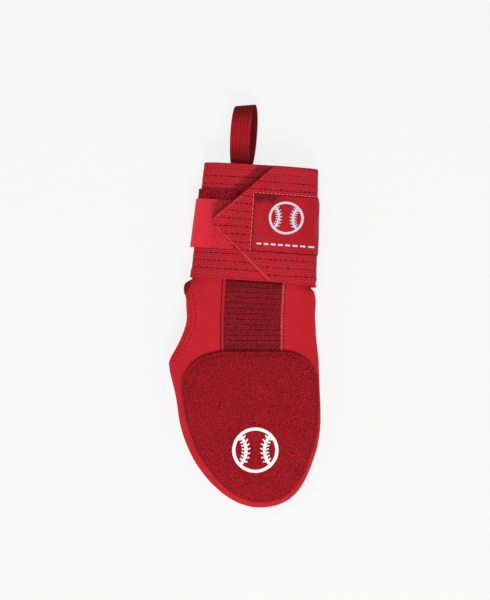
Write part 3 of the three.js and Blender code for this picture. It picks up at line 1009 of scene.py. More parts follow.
@dataclass(frozen=True)
class Paint(Finish):
    """Printed or foil emblem, slightly grained by the cloth under it."""

    def surface(self, board: Board) -> tuple[Signal, Signal]:
        """Even colour with a fine grain that follows the cloth."""
        grain = board.noise(0.9)
        return board.tone(linear(self.colour), grain * 0.16 + 0.92), grain * 0.12


SHELL = Jersey("foam_backed_jersey", (197, 30, 43), 0.72, 0.05)
PAD_NAP = Fuzz("guard_pad_nap", (158, 21, 33), 0.92, 0.05, tuft=1.05, contrast=3.1)
STRETCH = RibbedElastic("ribbed_stretch_panel", (136, 22, 31), 0.88, 0.03)
ELASTIC = StrapElastic("wrist_strap_elastic", (188, 33, 47), 0.8, 0.05)
# Partly the pile's own dark red, partly painted shade for the shadow it lies in above the tab.
PILE = Fuzz("pile_loops_painted_shade", (144, 19, 30), 0.95, 0.05, tuft=1.5, contrast=4.6)
TAPE = SmoothTape("hook_tab_tape", (232, 44, 60), 0.6, 0.1)
LABEL = Satin("label_satin_cloth", (182, 25, 38), 0.55, 0.0, specular=0.12)
WEBBING = Webbing("pull_loop_webbing", (172, 22, 33), 0.8, 0.03)
WHITE_PRINT = Paint("pad_white_print", (252, 252, 252), 0.5, 0.0)
SILVER_PRINT = Paint("label_silver_print", (222, 219, 232), 0.4, 0.0)
# Thread darkened as painted shade, for the sunk needle holes and grooves that the stitches lie in.
SHADED_THREAD = Finish("stitch_thread_painted_shade", (104, 12, 20), 0.75, 0.05)
LIGHT_THREAD = Finish("light_overlock_thread", (232, 86, 96), 0.7, 0.1)
EDGE_THREAD = Finish("flap_edge_thread", (206, 58, 70), 0.7, 0.1)
BORDER_THREAD = Finish("label_border_thread", (238, 128, 138), 0.7, 0.1)
# Jersey darkened as painted shade, for the inside of the hem's fold.
HEM_FOLD_SHADE = Jersey("hem_fold_painted_shade", (124, 17, 28), 0.85, 0.0)


def settle(piece: bpy.types.Object, finish: Finish, slot: Slot, *nodes: str) -> bpy.types.Object:
    """Give a piece its finish and its body, and hide the nodes that it stands for.

    Args:
        piece: The piece.
        finish: Its finish.
        slot: The record's material slot; not used.
        nodes: The nodes that it replaces.

    Returns:
        The piece.
    """
    finish.dress(piece)
    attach(piece, "root")
    if nodes:
        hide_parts(*nodes)
    log.info("%s: %d faces", piece.name, len(piece.data.polygons))
    return piece


@dataclass
class Needlework:
    """Rows of single stitches, gathered into one mesh of thread."""

    name: str
    radius: float = 0.25
    rows: list[tuple[Array, ...]] = field(default_factory=list)

    def sew(
        self, angle: Array, along: Array, height: Array | float,
        pitch: float, length: float, slant: float = 0.0,
    ) -> None:
        """Put stitches along a row on the pouch, pitch apart, each turned by slant from the row.

        Args:
            angle: Angles that the row follows.
            along: Its distances from the fingertips.
            height: Its height over the pouch's face.
            pitch: Spacing of the stitches.
            length: Length of one stitch.
            slant: Turn of each stitch in the cloth's plane, in radians.
        """
        path, normals = POUCH.lifted(angle, along, height)
        distance = runs(path, 0)
        count = max(int(distance[-1] / pitch), 1)
        at = (np.arange(count) + 0.5) * distance[-1] / count
        normal = unit(sampled(normals, distance, at))
        forward = unit(sampled(path, distance, at + 0.3) - sampled(path, distance, at - 0.3))
        run = forward * math.cos(slant) + unit(np.cross(normal, forward)) * math.sin(slant)
        self.rows.append((sampled(path, distance, at), run, normal, np.full(count, length / 2)))

    def build(self) -> bpy.types.Object:
        """Mesh of every stitch: five rings of six points, thin and sunk into the cloth at both ends.

        Returns:
            The thread, in the scene.
        """
        middle, run, normal, half = (np.concatenate(parts) for parts in zip(*self.rows))
        side = np.cross(normal, run)
        place = np.array([-1.0, -0.72, 0.0, 0.72, 1.0])
        swell = np.array([0.3, 0.9, 1.0, 0.9, 0.3]) * self.radius
        sink = np.array([1.5, 0.3, 0.0, 0.3, 1.5]) * self.radius
        turn = np.arange(6) * math.pi / 3
        ring = side[:, None, :] * np.cos(turn)[:, None] + normal[:, None, :] * np.sin(turn)[:, None]
        spine = (
            middle[:, None, :]
            + run[:, None, :] * (half[:, None] * place)[..., None]
            - normal[:, None, :] * sink[None, :, None]
        )
        points = spine[:, :, None, :] + ring[:, None, :, :] * swell[None, :, None, None]
        body = [
            [r * 6 + k, r * 6 + (k + 1) % 6, r * 6 + 6 + (k + 1) % 6, r * 6 + 6 + k]
            for r in range(4)
            for k in range(6)
        ]
        caps = [[3, 2, 1, 0], [5, 4, 3, 0], [24, 25, 26, 27], [24, 27, 28, 29]]
        template = np.array(body + caps)
        faces = (template[None] + np.arange(len(middle))[:, None, None] * 30).reshape(-1, 4)
        return make_mesh(self.name, points.reshape(-1, 3) * MM, faces)


@dataclass
class PouchPanels:
    """Back and palm halves of the pouch, with the turned hem of the thumb hole and the side seams."""

    hem: float = 8.0
    hem_rise: float = 0.45
    hem_reach: tuple[float, float] = (1.5, 5.0)
    hem_fill: float = 0.4
    end_rows: tuple[float, float] = (168.0, 178.6)
    stitch_rows: tuple[float, float] = (3.3, 7.3)
    slot_half: float = 25.2
    slot_start: float = 116.0
    field_share: float = 0.75
    field_width: float = 46.0
    palm_girth: float = 130.0
    seam_dip: float = 0.9
    strap_cover: tuple[float, float] = (176.0, 182.0)
    back_seed: int = 5
    palm_seed: int = 11
    step: float = 1.35

    def rows(self) -> Array:
        """Distances along: closer round the fingertips, even over the hand, closer again at the mouth.

        Returns:
            The distances in order.
        """
        toe = POUCH.toe_length * (1 - np.cos(np.linspace(0, math.pi / 2, int(22 / COARSE))))
        hand = np.linspace(POUCH.toe_length, self.slot_start, int(70 / COARSE))[1:]
        rest = crowded(self.slot_start, POUCH.panel_end, self.step)[1:]
        return np.concatenate([toe, hand, rest[rest > self.slot_start + 0.5]])

    def hem_share(self, along: Array) -> Array:
        """How much hem there is along the thumb hole: a sine hump raised to a low power, so that it fills.

        Args:
            along: Distances from the fingertips.

        Returns:
            The share, from 0 to 1.
        """
        before, more = self.hem_reach
        t = np.clip((along - POUCH.thumb_start + before) / (POUCH.thumb_length + more), 0.0, 1.0)
        return np.abs(np.sin(math.pi * t)) ** self.hem_fill

    def relief(self, angle: Array, along: Array, seed: int) -> Array:
        """Height of the face: the hem's step and sunk stitch rows, the drawn-in side seam and soft dents.

        Args:
            angle: Angles round the pouch.
            along: Distances from the fingertips.
            seed: Start of the dents' random numbers.

        Returns:
            A height for each place.
        """
        x = POUCH.across(angle, along)
        distance, share = x - POUCH.thumb_edge(along), self.hem_share(along)
        hem = self.hem_rise * share * (1 - smooth(distance - self.hem * share, -0.8, 0.5))
        for row in self.stitch_rows:
            hem = hem - 0.5 * share * ridge(distance - row * share, 0.6) * (share > 0.05)
        seam = -self.seam_dip * ridge(POUCH.face(angle, along)[..., 2] - POUCH.seam_height, 1.7)
        dents = uneven(x, along, seed, (0.35, 21.0), (0.12, 7.0)) - 0.35
        bare = 1 - smooth(along, *self.strap_cover)
        return hem * bare + seam + dents * (0.3 + 0.7 * bare) - POUCH.squeeze(angle, along)

    def back(self) -> bpy.types.Object:
        """Back half: three fields of columns, with the stretch panel's slot left out of the middle one.

        Returns:
            The panel.
        """
        along = self.rows()[:, None]
        middle, half = POUCH.section(along)
        right = POUCH.angle_across(np.minimum(self.slot_half, middle + half * self.field_share), along)
        left = POUCH.angle_across(np.maximum(-self.slot_half, middle - half * self.field_share), along)
        thumb = POUCH.angle_across(POUCH.thumb_edge(along), along)
        side = crowded(0.0, 1.0, self.step / self.field_width, 1.6 / self.field_width)[None]
        slot = np.linspace(0.0, 1.0, int(34 / COARSE))[None]
        fields = [
            lerp(0.0 * right, right, side), lerp(right, left, slot)[:, 1:], lerp(left, thumb, side)[:, 1:],
        ]
        angle = np.clip(np.concatenate(fields, axis=1), 1e-9, math.pi - 1e-9)
        along = np.repeat(along, angle.shape[1], axis=1)
        first, last = side.shape[1] - 1, side.shape[1] + slot.shape[1] - 2
        column = np.arange(angle.shape[1] - 1)
        inside = (column >= first) & (column < last)
        keep = ~((along[:-1, :-1] >= self.slot_start - 1e-6) & inside[None])
        slot_side = np.abs(POUCH.across(angle, along)) - self.slot_half
        border = np.abs(np.where(along >= self.slot_start - 1e-6, slot_side, 1e3))
        free = (False, True, True, True)
        piece = Laid(angle, along, -POUCH.wall, 0.0, 0.7, POUCH.clearance / 2, free, border)
        sheet = piece.sheet(self.relief(angle, along, self.back_seed), keep=keep)
        return self.declare(sheet.build("pouch_back"), "back_panel")

    def palm(self) -> bpy.types.Object:
        """Palm half, from the thumb hole's edge round under the hand to the little-finger seam.

        Returns:
            The panel.
        """
        along = self.rows()[:, None]
        start = TURN - POUCH.angle_across(POUCH.thumb_edge(along), along, POUCH.palm_crown)
        share = crowded(0.0, 1.0, self.step / self.palm_girth, 1.6 / self.palm_girth)[None]
        angle = np.clip(lerp(start, TURN, share), math.pi + 1e-9, TURN - 1e-9)
        along = np.repeat(along, angle.shape[1], axis=1)
        free = (False, True, True, True)
        piece = Laid(angle, along, -POUCH.wall, 0.0, 0.7, -POUCH.clearance / 2, free)
        relief = self.relief(angle, along, self.palm_seed)
        resting = smooth(POUCH.face(angle, along)[..., 2], 0.3, 5.0)
        sheet = piece.sheet(np.where(relief > 0, relief * resting, relief))
        return self.declare(sheet.build("pouch_palm"), "palm_panel")

    def declare(self, panel: bpy.types.Object, node: str) -> bpy.types.Object:
        """Dress a panel.

        Args:
            panel: The panel.
            node: The node that it replaces.

        Returns:
            The panel.
        """
        settle(panel, SHELL, Slot.SHELL, node)
        return panel

    def stitches(self) -> bpy.types.Object:
        """Two rows of stitches along the hem, on the back and on the palm.

        Returns:
            The thread.
        """
        thread = Needlework("thumb_hem_stitches", 0.31)
        along = np.linspace(POUCH.thumb_start + 2.0, POUCH.thumb_start + POUCH.thumb_length + 1.0, 160)
        edge, share = POUCH.thumb_edge(along), self.hem_share(along)
        halves = ((POUCH.crown, 0.0, 1.0, self.back_seed), (POUCH.palm_crown, TURN, -1.0, self.palm_seed))
        for crown, seam, sign, seed in halves:
            for row in self.stitch_rows:
                angle = seam + sign * POUCH.angle_across(edge + row * share, along, crown)
                thread.sew(angle, along, self.relief(angle, along, seed) + 0.12, 3.4, 2.5)
        return settle(thread.build(), SHADED_THREAD, Slot.SHELL)

    def hem_end(self) -> bpy.types.Object:
        """Inside of the hem that shows at its folded end: a strip that widens towards the strap, dark as
        painted shade in the fold.

        Returns:
            The strip.
        """
        rows = crowded(*self.end_rows, 0.7, 0.6)[:, None]
        share = crowded(0.0, 1.0, 0.12, 0.2)[None]
        reach = smooth(rows, 167.0, 174.5)
        near = POUCH.thumb_edge(rows) + 1.2 * reach
        angle = np.clip(POUCH.angle_across(near + (0.6 + 2.3 * reach) * share, rows), 1e-9, math.pi - 0.02)
        along = np.repeat(rows, angle.shape[1], axis=1) + 3.0 * (share - 0.6) * reach
        piece = Laid(angle, along, 0.1, 0.5 + 0.6 * reach * share, 0.3)
        return settle(piece.sheet().build("thumb_hem_end"), HEM_FOLD_SHADE, Slot.SHELL)


@dataclass
class StretchPanel:
    """Ribbed elastic in the slot of the back, between a plain flange and an overlocked strip."""

    half: float = 24.9
    start: float = 116.3
    recess: float = 0.7
    rib_pitch: float = 4.2
    rib_depth: float = 0.5
    flange: float = 22.4
    wrist_shade: float = 0.45
    pad_shade: float = 0.4
    overlock: float = 23.7
    seam: float = -25.0

    def build(self) -> None:
        """Grooves of |cos|^6 along the hand part the ribs, and the flanges stand up round at both sides."""
        rows = crowded(self.start, POUCH.panel_end, 0.7)
        across = crowded(-self.half, self.half, 0.9)[None]
        along = np.repeat(rows[:, None], across.shape[1], axis=1)
        angle = POUCH.angle_across(across, along)
        x = np.repeat(across, len(rows), axis=0)
        centre = 1 - smooth(np.abs(x), self.flange - 0.3, self.flange + 0.3)
        wave = np.abs(np.cos(math.pi * (along - self.start) / self.rib_pitch))
        ribs = -self.rib_depth * wave**6 * centre
        edge = 0.55 * (1 - centre) * ridge(np.abs(x) - (self.flange + self.half) / 2, 1.2)
        bare = 1 - smooth(along, 178.0, 182.0)
        bow = 0.25 * speckle(x, along, 17.0, 31) * centre * bare
        shade = self.wrist_shade * smooth(along, 174.0, 184.0)
        shade = shade + self.pad_shade * (1 - smooth(along, 124.5, 128.0))
        piece = Laid(angle, along, -POUCH.wall, -self.recess, 0.35)
        sheet = piece.sheet(ribs + edge * bare + bow, np.stack([x, along], axis=-1), marks={"shade": shade})
        panel = settle(sheet.build("stretch_rib_panel"), STRETCH, Slot.STRETCH, "stretch_panel")
        light, dark = Needlework("stretch_panel_overlock", 0.24), Needlework("stretch_panel_seam", 0.26)
        along = np.linspace(118.0, 183.0, 140)
        rows = (
            (light, self.overlock, 1.0, 2.5, 2.5), (light, self.overlock - 0.2, -0.5, 2.5, 1.9),
            (dark, self.seam, 0.0, 2.9, 2.0),
        )
        for thread, side, slant, pitch, length in rows:
            angle = POUCH.angle_across(np.full_like(along, side), along)
            thread.sew(angle, along, 0.05, pitch, length, slant)
        settle(light.build(), LIGHT_THREAD, Slot.STRETCH)
        settle(dark.build(), SHADED_THREAD, Slot.STRETCH)


@dataclass
class GuardPad:
    """Brushed foam pad over the fingers, sewn down along its rim."""

    length: float = 119.9
    thickness: float = 5.0
    edge: float = 1.4
    corners: tuple[float, float] = (25.0, 35.0)
    rim_tip: float = 6.4
    rims: tuple[float, float] = (3.7, 5.9)
    shoulders: tuple[float, float] = (26.0, 43.0)
    half_width: float = 56.0
    stitch_inset: float = 2.6
    wrist_edge: float = 0.86

    def outline(self, count: int) -> Array:
        """Closed outline, evenly spaced: the pouch's sides, drawn in by the rim and by the round shoulders.

        Args:
            count: Number of points round it.

        Returns:
            Places across and along.
        """
        along = self.length * (1 - np.cos(np.linspace(0, math.pi, 500))) / 2
        middle, half = POUCH.section(along)
        sides = []
        for sign, rim, shoulder, length in zip((1, -1), self.rims, self.shoulders, self.corners):
            inset = rim * round_end(along / POUCH.arch_length)
            corner = shoulder * (1 - round_end((self.length - along) / length))
            sides.append(np.stack([middle + sign * (half - inset - corner), along + self.rim_tip], axis=-1))
        path = np.concatenate([sides[0], sides[1][::-1]])
        length = runs(path, 0)
        return sampled(path, length, np.linspace(0.0, length[-1], count + 1))

    def top(self, share: Array, x: Array, along: Array) -> Array:
        """Height of the pad's face: a dome, the root of 1 - share^6, with a sewn groove, tufts and dents.

        Args:
            share: Share of the way from the middle to the outline.
            x: Places across.
            along: Distances from the fingertips.

        Returns:
            The height over the pouch, in millimetres.
        """
        dome = self.edge + (self.thickness - self.edge) * np.sqrt(np.clip(1 - share**6, 0.0, 1.0))
        groove = -0.7 * ridge((1 - share) * self.half_width - self.stitch_inset, 0.8)
        tufts = uneven(x, along, 3, (0.16, 1.1), (0.03, 2.4))
        dents = 0.3 * speckle(x, along, 15.0, 8)
        inner = smooth(1 - share, 0.0, 0.06)
        return POUCH.clearance + dome + groove + (tufts + dents - 0.1) * inner

    def build(self) -> None:
        """Rings of the outline drawn in to its middle, on the pouch's curved back."""
        outline = self.outline(int(360 / COARSE))
        centre = np.array([float(POUCH.section(self.length / 2)[0]), self.rim_tip + self.length / 2])
        share = crowded(0.0, 1.0, 0.014, 0.02)[:, None]
        place = centre + (outline[None] - centre) * share[..., None]
        share = np.repeat(share, place.shape[1], axis=1)
        x, along = place[..., 0], place[..., 1]
        angle = POUCH.angle_across(x, along)
        outer = POUCH.lifted(angle, along, self.top(share, x, along))[0]
        inner = POUCH.lifted(angle, along, POUCH.clearance)[0]
        sheet = Sheet(outer, inner, place, round=True)
        pad = settle(sheet.build("guard_pad_foam"), PAD_NAP, Slot.PAD, "guard_pad")
        thread, edge = Needlework("guard_pad_stitches", 0.3), Needlework("guard_pad_edge_stitches", 0.42)
        inset = 1 - self.stitch_inset / self.half_width
        x, along = (centre + (outline - centre) * inset).T
        height = self.top(np.full(len(x), inset), x, along) + 0.1
        thread.sew(POUCH.angle_across(x, along), along, height, 3.6, 2.4)
        path = outline[outline[:, 1] > self.rim_tip + self.wrist_edge * self.length]
        x, along = path[np.argsort(path[:, 0])].T
        along = along + 0.3
        # These dark stitches also stand in as painted shade along the pad's top edge.
        edge.sew(POUCH.angle_across(x, along), along, 0.9, 3.4, 2.9)
        settle(edge.build(), SHADED_THREAD, Slot.PAD)
        settle(thread.build(), SHADED_THREAD, Slot.PAD)


@dataclass
class Closure:
    """Elastic wrist strap with its pile strip, hook tab, label and pointed flap."""

    sewn_end: float = 40.0
    tip: float = -33.0
    tip_height: float = 7.0
    tip_from_mouth: float = 47.6
    upper_run: float = 43.0
    lower_run: float = 45.0
    ramp: float = 9.0
    tab_end: float = -18.0
    curl: float = 2.4
    askew: float = 2.7
    sag: float = 2.5
    flap_shade: float = 0.46
    pile: tuple[float, float, float] = (46.0, 1.4, 21.2)
    tab: tuple[float, float, float] = (39.0, 1.3, 29.4)
    label: tuple[float, float, float] = (44.3, 0.8, 23.7)
    label_edge: float = -4.0

    @property
    def tip_along(self) -> float:
        """Distance from the fingertips to the middle of the point."""
        return POUCH.length - self.tip_from_mouth

    def edges(self, across: Array) -> tuple[Array, Array]:
        """Lower and upper edge of the flap at a place across: two straight slants out of the blunt point.

        Args:
            across: Places across.

        Returns:
            Distances from the fingertips to the two edges.
        """
        low = np.clip((across - self.tip) / self.lower_run, 0.0, 1.0)
        high = np.clip((across - self.tip) / self.upper_run, 0.0, 1.0)
        return (
            lerp(self.tip_along - self.tip_height / 2, POUCH.strap_start, low),
            lerp(self.tip_along + self.tip_height / 2, POUCH.length, high),
        )

    def level(self, angle: Array, along: Array) -> Array:
        """Height of the strap's inner face: one turn, then over itself and the tab, with its edge curled.

        Args:
            angle: Angles round the pouch.
            along: Distances from the fingertips.

        Returns:
            The height over the pouch, in millimetres.
        """
        first, second = POUCH.clearance, 2 * POUCH.clearance + POUCH.strap_thickness
        level = lerp(first, second, smooth(angle, TURN - 0.6, TURN + 0.3))
        across = POUCH.across(angle, along)
        rise = self.pile[1] + self.tab[1] + 2 * POUCH.clearance
        climb = np.clip((self.tab_end + self.ramp - across) / self.ramp, 0.0, 1.0)
        flap = (angle >= 1.1 * TURN).astype(float)
        slant = (self.edges(across)[1] - along) * 0.7
        curl = self.curl * (1 - smooth(slant, 0.0, 9.0)) * (1 - smooth(across, -4.0, 12.0))
        return level + flap * (rise * climb + curl) - POUCH.squeeze(angle, along)

    def shade(self, angle: Array, along: Array) -> Array:
        """Share of light that the flap takes from the cloth under it, just outside its upper slant.

        Args:
            angle: Angles round the pouch.
            along: Distances from the fingertips.

        Returns:
            The share, from 0 to 1.
        """
        across = POUCH.across(angle, along)
        beyond = (along - self.edges(across)[1]) * 0.68
        beside = smooth(across, self.tip - 5.0, self.tip + 1.0)
        band = smooth(beyond, -2.0, 0.0) * (1 - smooth(beyond, 7.0, 9.5)) * beside
        under = (angle < 1.1 * TURN) & (angle > 0)
        return self.flap_shade * band * under * (np.sin(angle) > 0)

    def strap(self) -> None:
        """Band from its sewn end round the wrist and over itself to the point, with sunk stitched rows."""
        middle = POUCH.length - POUCH.strap_width / 2
        start = float(self.back_edge(self.sewn_end)(np.array(middle)))
        end = float(self.back_edge(self.tip, 1)(np.array(middle)))
        angles = POUCH.spaced(start, end, middle, 1.4, 4000)
        across = np.where(angles > TURN, POUCH.across(angles, np.full_like(angles, middle)), 1e3)
        low, high = self.edges(across)
        low = low - self.sag * ridge(angles - TURN, 0.75)
        shares = crowded(0.0, 1.0, 0.0088, 0.013)[:, None]
        along = low + (high - low) * shares
        angle = self.follow(angles, along, middle)
        level = self.level(angle, along)
        row = along + self.askew * smooth(angle, 0.75 * TURN, 1.1 * TURN)
        line = np.abs(((row - ELASTIC.first) / ELASTIC.row) % 1.0 - 0.5) * ELASTIC.row
        x = POUCH.girth(angle, middle)
        relief = -0.22 * ridge(line, 0.8) + 0.18 * speckle(x, along, 14.0, 41) - 0.1
        relief = np.where(angle > 1.05 * TURN, relief, np.minimum(relief, 0.12))
        resting = smooth(POUCH.face(angle, along)[..., 2], 3.0, 7.0)
        relief = np.where(relief > 0, relief * resting, relief)
        piece = Laid(angle, along, level, level + POUCH.strap_thickness, 0.8)
        marks = {"shade": self.shade(angle, along)}
        sheet = piece.sheet(relief, np.stack([x, row], axis=-1), marks=marks)
        strap = settle(sheet.build("wrist_strap_band"), ELASTIC, Slot.STRAP, "wrist_strap")

    def follow(self, angles: Array, along: Array, middle: float) -> Array:
        """Angles that keep their place across the back as the wrist narrows, and their angle elsewhere.

        Args:
            angles: Angles at the strap's middle.
            along: Distances from the fingertips.
            middle: Distance from the fingertips to the strap's middle.

        Returns:
            The angles at each distance.
        """
        level = POUCH.across(angles, np.full_like(angles, middle))
        place = POUCH.angle_across(np.broadcast_to(level, along.shape), along)
        turns = np.floor(angles / TURN) * TURN
        middle_share = 1 - smooth(np.abs(np.cos(angles)), 0.6, 0.95)
        blend = np.where(np.sin(angles) > 0, middle_share, 0.0)
        return lerp(np.broadcast_to(angles, along.shape), place + turns, blend)

    def patch(
        self, start: Edge, end: Edge, size: tuple[float, float, float], base: Callable, step: float
    ) -> tuple[Laid, Array]:
        """Piece laid round the wrist at a height that base gives.

        Args:
            start: Angle of its first edge.
            end: Angle of its last edge.
            size: Width, thickness and distance from the mouth.
            base: Height of its underside, from angles and distances.
            step: Spacing of its grid.

        Returns:
            The piece and its cloth coordinates.
        """
        width, thickness, from_mouth = size
        top = POUCH.length - from_mouth
        rows = crowded(top - width, top, step)
        angle, along = POUCH.wrap(start, end, rows, step)
        low = base(angle, along)
        piece = Laid(angle, along, low, low + thickness, thickness / 2)
        return piece, np.stack([POUCH.girth(angle, float(rows.mean())), along], axis=-1)

    def back_edge(self, across: float, turns: int = 0) -> Edge:
        """Edge that stays at one place across the back."""
        return lambda along: POUCH.angle_across(np.full_like(along, across), along) + turns * TURN

    def side_edge(self, degrees: float, turns: int = 0) -> Edge:
        """Edge that stays at one angle."""
        return lambda along: np.full_like(along, math.radians(degrees) + turns * TURN)

    def fasteners(self) -> None:
        """Pile strip on the strap, and the smooth hook tab over it."""
        first = 2 * POUCH.clearance + POUCH.strap_thickness
        pile, uv = self.patch(
            self.back_edge(self.tab_end + 1.5), self.side_edge(197.0), self.pile,
            lambda a, v: np.full_like(a, first), 0.9,
        )
        tufts = uneven(uv[..., 0], uv[..., 1], 51, (0.3, 1.1), (0.15, 2.3))
        free = smooth(pile.edge, 0.2, 1.0)
        strip = pile.sheet((tufts - 0.15) * free, uv).build("pile_fastener")
        settle(strip, PILE, Slot.PILE, "pile_strip")
        second = first + self.pile[1] + POUCH.clearance
        tab, uv = self.patch(
            self.back_edge(self.tab_end), self.side_edge(192.0), self.tab,
            lambda a, v: np.full_like(a, second), 1.2,
        )
        relief = 0.15 * speckle(uv[..., 0], uv[..., 1], 16.0, 61) - 0.12
        across = POUCH.across(tab.angle, tab.along)
        # The hooks show, and painted shade darkens the tab more and more towards the flap.
        marks = {"hooks_and_shade": smooth(across, -44.0, -31.0) ** 1.5, "shade": self.shade(tab.angle, tab.along)}
        tape = settle(tab.sheet(relief, uv, marks=marks).build("smooth_hook_tab"), TAPE, Slot.TAB, "hook_tab")

    def over(self, angle: Array, along: Array, height: float = 0.2) -> Array:
        """Height of the strap's outer face, plus height."""
        return self.level(angle, along) + POUCH.strap_thickness + height

    def plain_label(self) -> None:
        """Satin label, creased at its upper corner, with painted shade in the crease and along its left edge,
        and its border of stitches.
        """
        piece, uv = self.patch(
            self.side_edge(-15.0, 1), self.back_edge(self.label_edge, 1), self.label, self.over, 0.9
        )
        x, v = POUCH.across(piece.angle, piece.along), piece.along
        top = POUCH.length - self.label[2]
        low = top - self.label[0]
        blotch = 0.85 + 0.8 * speckle(x, v, 5.0, 71)
        # The crease dents the cloth and is darkened by painted shade; border is a painted shadow along the
        # label's left edge.
        crease_and_shade = ridge(top - 2.4 - v, 4.0) * (1 - smooth(x, 10.0, 24.0)) * blotch
        border = 1 - smooth(x - self.label_edge, 0.3, 1.2)
        puff = 0.3 * speckle(x, v, 11.0, 72) + 0.1
        relief = puff * smooth(piece.edge, 0.5, 5.0) - 0.3 * crease_and_shade - 0.4 * ridge(piece.edge - 1.7, 0.6)
        marks = {"crease_and_shade": np.clip(np.maximum(crease_and_shade, border), 0.0, 1.0)}
        label = piece.sheet(relief, uv, marks=marks).build("plain_strap_label")
        settle(label, LABEL, Slot.LABEL, "strap_label")
        light, dark = Needlework("label_edge_stitches", 0.33), Needlework("label_row_stitches", 0.3)
        along = np.linspace(low - 0.5, top + 0.5, 90)
        angle = self.back_edge(self.label_edge - 0.7, 1)(along)
        light.sew(angle, along, self.over(angle, along, 0.4), 3.4, 2.9)
        # The dark rows are painted shade in the grooves along the label's top and bottom edges.
        rows = (
            (light, top + 1.3, 0.15, 3.1, 1.7), (light, low + 0.5, 0.75, 3.4, 1.5),
            (dark, top + 0.3, 0.15, 4.3, 2.9), (dark, low - 0.6, 0.15, 4.4, 3.8),
        )
        for thread, row, height, pitch, length in rows:
            start = float(self.back_edge(self.label_edge - 0.6)(np.array(row)))
            angle = np.linspace(start, math.radians(-12), 200) + TURN
            along = np.full_like(angle, row)
            thread.sew(angle, along, self.over(angle, along, height), pitch, length)
        settle(light.build(), BORDER_THREAD, Slot.LABEL)
        settle(dark.build(), SHADED_THREAD, Slot.LABEL)

    def flap_edging(self) -> None:
        """Fine stitches inside the flap's two slants, and a smooth cord along the end of the lower one."""
        thread, cord = Needlework("flap_edge_stitches", 0.26), Needlework("flap_edge_cord", 1.2)
        rows = (
            (thread, 1, 1.0, 20.0, 1.5, 2.9, 2.5), (thread, 0, 2.0, 26.0, 0.7, 1.9, 1.8),
            (cord, 0, 22.0, 44.4, 0.8, 1.1, 2.9),
        )
        for kind, which, first, last, inset, pitch, length in rows:
            across = np.linspace(self.tip + first, self.tip + last, 240)
            along = self.edges(across)[which] + (1, -1)[which] * 1.45 * inset
            angle = POUCH.angle_across(across, along) + TURN
            kind.sew(angle, along, self.over(angle, along, -0.1), pitch, length)
        settle(thread.build(), LIGHT_THREAD, Slot.STRAP)
        settle(cord.build(), EDGE_THREAD, Slot.STRAP)


@dataclass
class PullLoop:
    """Webbing sewn inside the mouth, out in a long drop shape and back under itself."""

    width: float = 16.0
    thickness: float = 1.5
    reach: float = 48.0
    sewn: float = 20.0
    place_across: float = -16.3
    bulge: float = 8.5
    slip: float = 2.2
    droop: float = 5.0
    lean: float = -1.0
    skew: float = 0.16
    foot_shade: float = 0.58
    back_shade: float = 0.62

    def build(self) -> None:
        """Band carried along a drop-shaped line: 1 - cos for its reach, and a sine for its bulge."""
        end = np.array(POUCH.panel_end)
        angle = POUCH.angle_across(np.array(self.place_across), end)
        seat, up = POUCH.face(angle, end), POUCH.outward(angle, end)
        out = unit(seat - POUCH.face(angle, end - self.sewn))
        across = unit(np.cross(out, up))
        pitch = self.thickness + POUCH.clearance
        top = -POUCH.wall - 2 * POUCH.clearance - self.thickness / 2

        def place(run: Array, height: Array, slip: Array) -> Array:
            """Point at a run out of the mouth, a height over the seat and a slip sideways, less the droop.

            Args:
                run: Lengths out of the mouth.
                height: Heights over the seat.
                slip: Sideways offsets.

            Returns:
                Points, in millimetres.
            """
            drop = self.droop * np.maximum(run / self.reach, 0.0) ** 2
            point = seat + run[:, None] * out + (top + height)[:, None] * up + slip[:, None] * across
            return point - drop[:, None] * np.array([0.0, 0.0, 1.0])

        t = np.linspace(0.0, 1.0, int(150 / COARSE))
        phi = TURN * t
        swell = self.bulge * np.sin(phi) * np.abs(np.sin(phi / 2)) ** 1.2
        lean = self.lean * smooth(t, 0.0, 0.5) * smooth(1 - t, 0.0, 0.5)
        drop = place(self.reach * (1 - np.cos(phi)) / 2, swell - pitch * t, lean - self.slip * np.sin(phi))
        leg = np.linspace(0.0, 1.0, 14)[:-1]
        zero = 0.0 * leg
        first = place(self.sewn * (leg - 1), zero, zero)
        last = place(-self.sewn * (leg + 0.08), zero - pitch, zero)
        centre = np.concatenate([first, drop, last])
        length = runs(centre, 0)
        forward = unit(np.gradient(centre, axis=0))
        face = unit(np.cross(across, forward))
        side = crowded(-self.width / 2, self.width / 2, 0.8, 0.7)
        edge = np.minimum(side + self.width / 2, self.width / 2 - side)
        dip = 0.55 * (1 - round_end(edge / 0.6))
        cup = 0.12 * np.cos(math.pi * side / self.width)
        top_share = smooth(length - self.sewn, 12.0, 45.0)
        skew = self.skew * np.minimum(top_share, top_share[::-1])[:, None] * out
        middle = centre[:, None] + side[None, :, None] * (across + skew)[:, None]
        half = (self.thickness / 2 - dip)[None, :, None] * face[:, None]
        lift = cup[None, :, None] * face[:, None] * 0.5
        uv = np.stack(np.broadcast_arrays(side[None] + 100.0, length[:, None]), axis=-1)
        turn = (length - self.sewn) / (length[-1] - 2.1 * self.sewn)
        shade = self.foot_shade * (1 - smooth(turn, 0.06, 0.2)) + self.back_shade * smooth(turn, 0.31, 0.45)
        marks = {"shade": np.repeat(shade[:, None], len(side), axis=1)}
        sheet = Sheet(middle + half + lift, middle - half + lift, uv, marks=marks)
        loop = settle(sheet.build("webbing_pull_loop"), WEBBING, Slot.LOOP, "pull_loop")


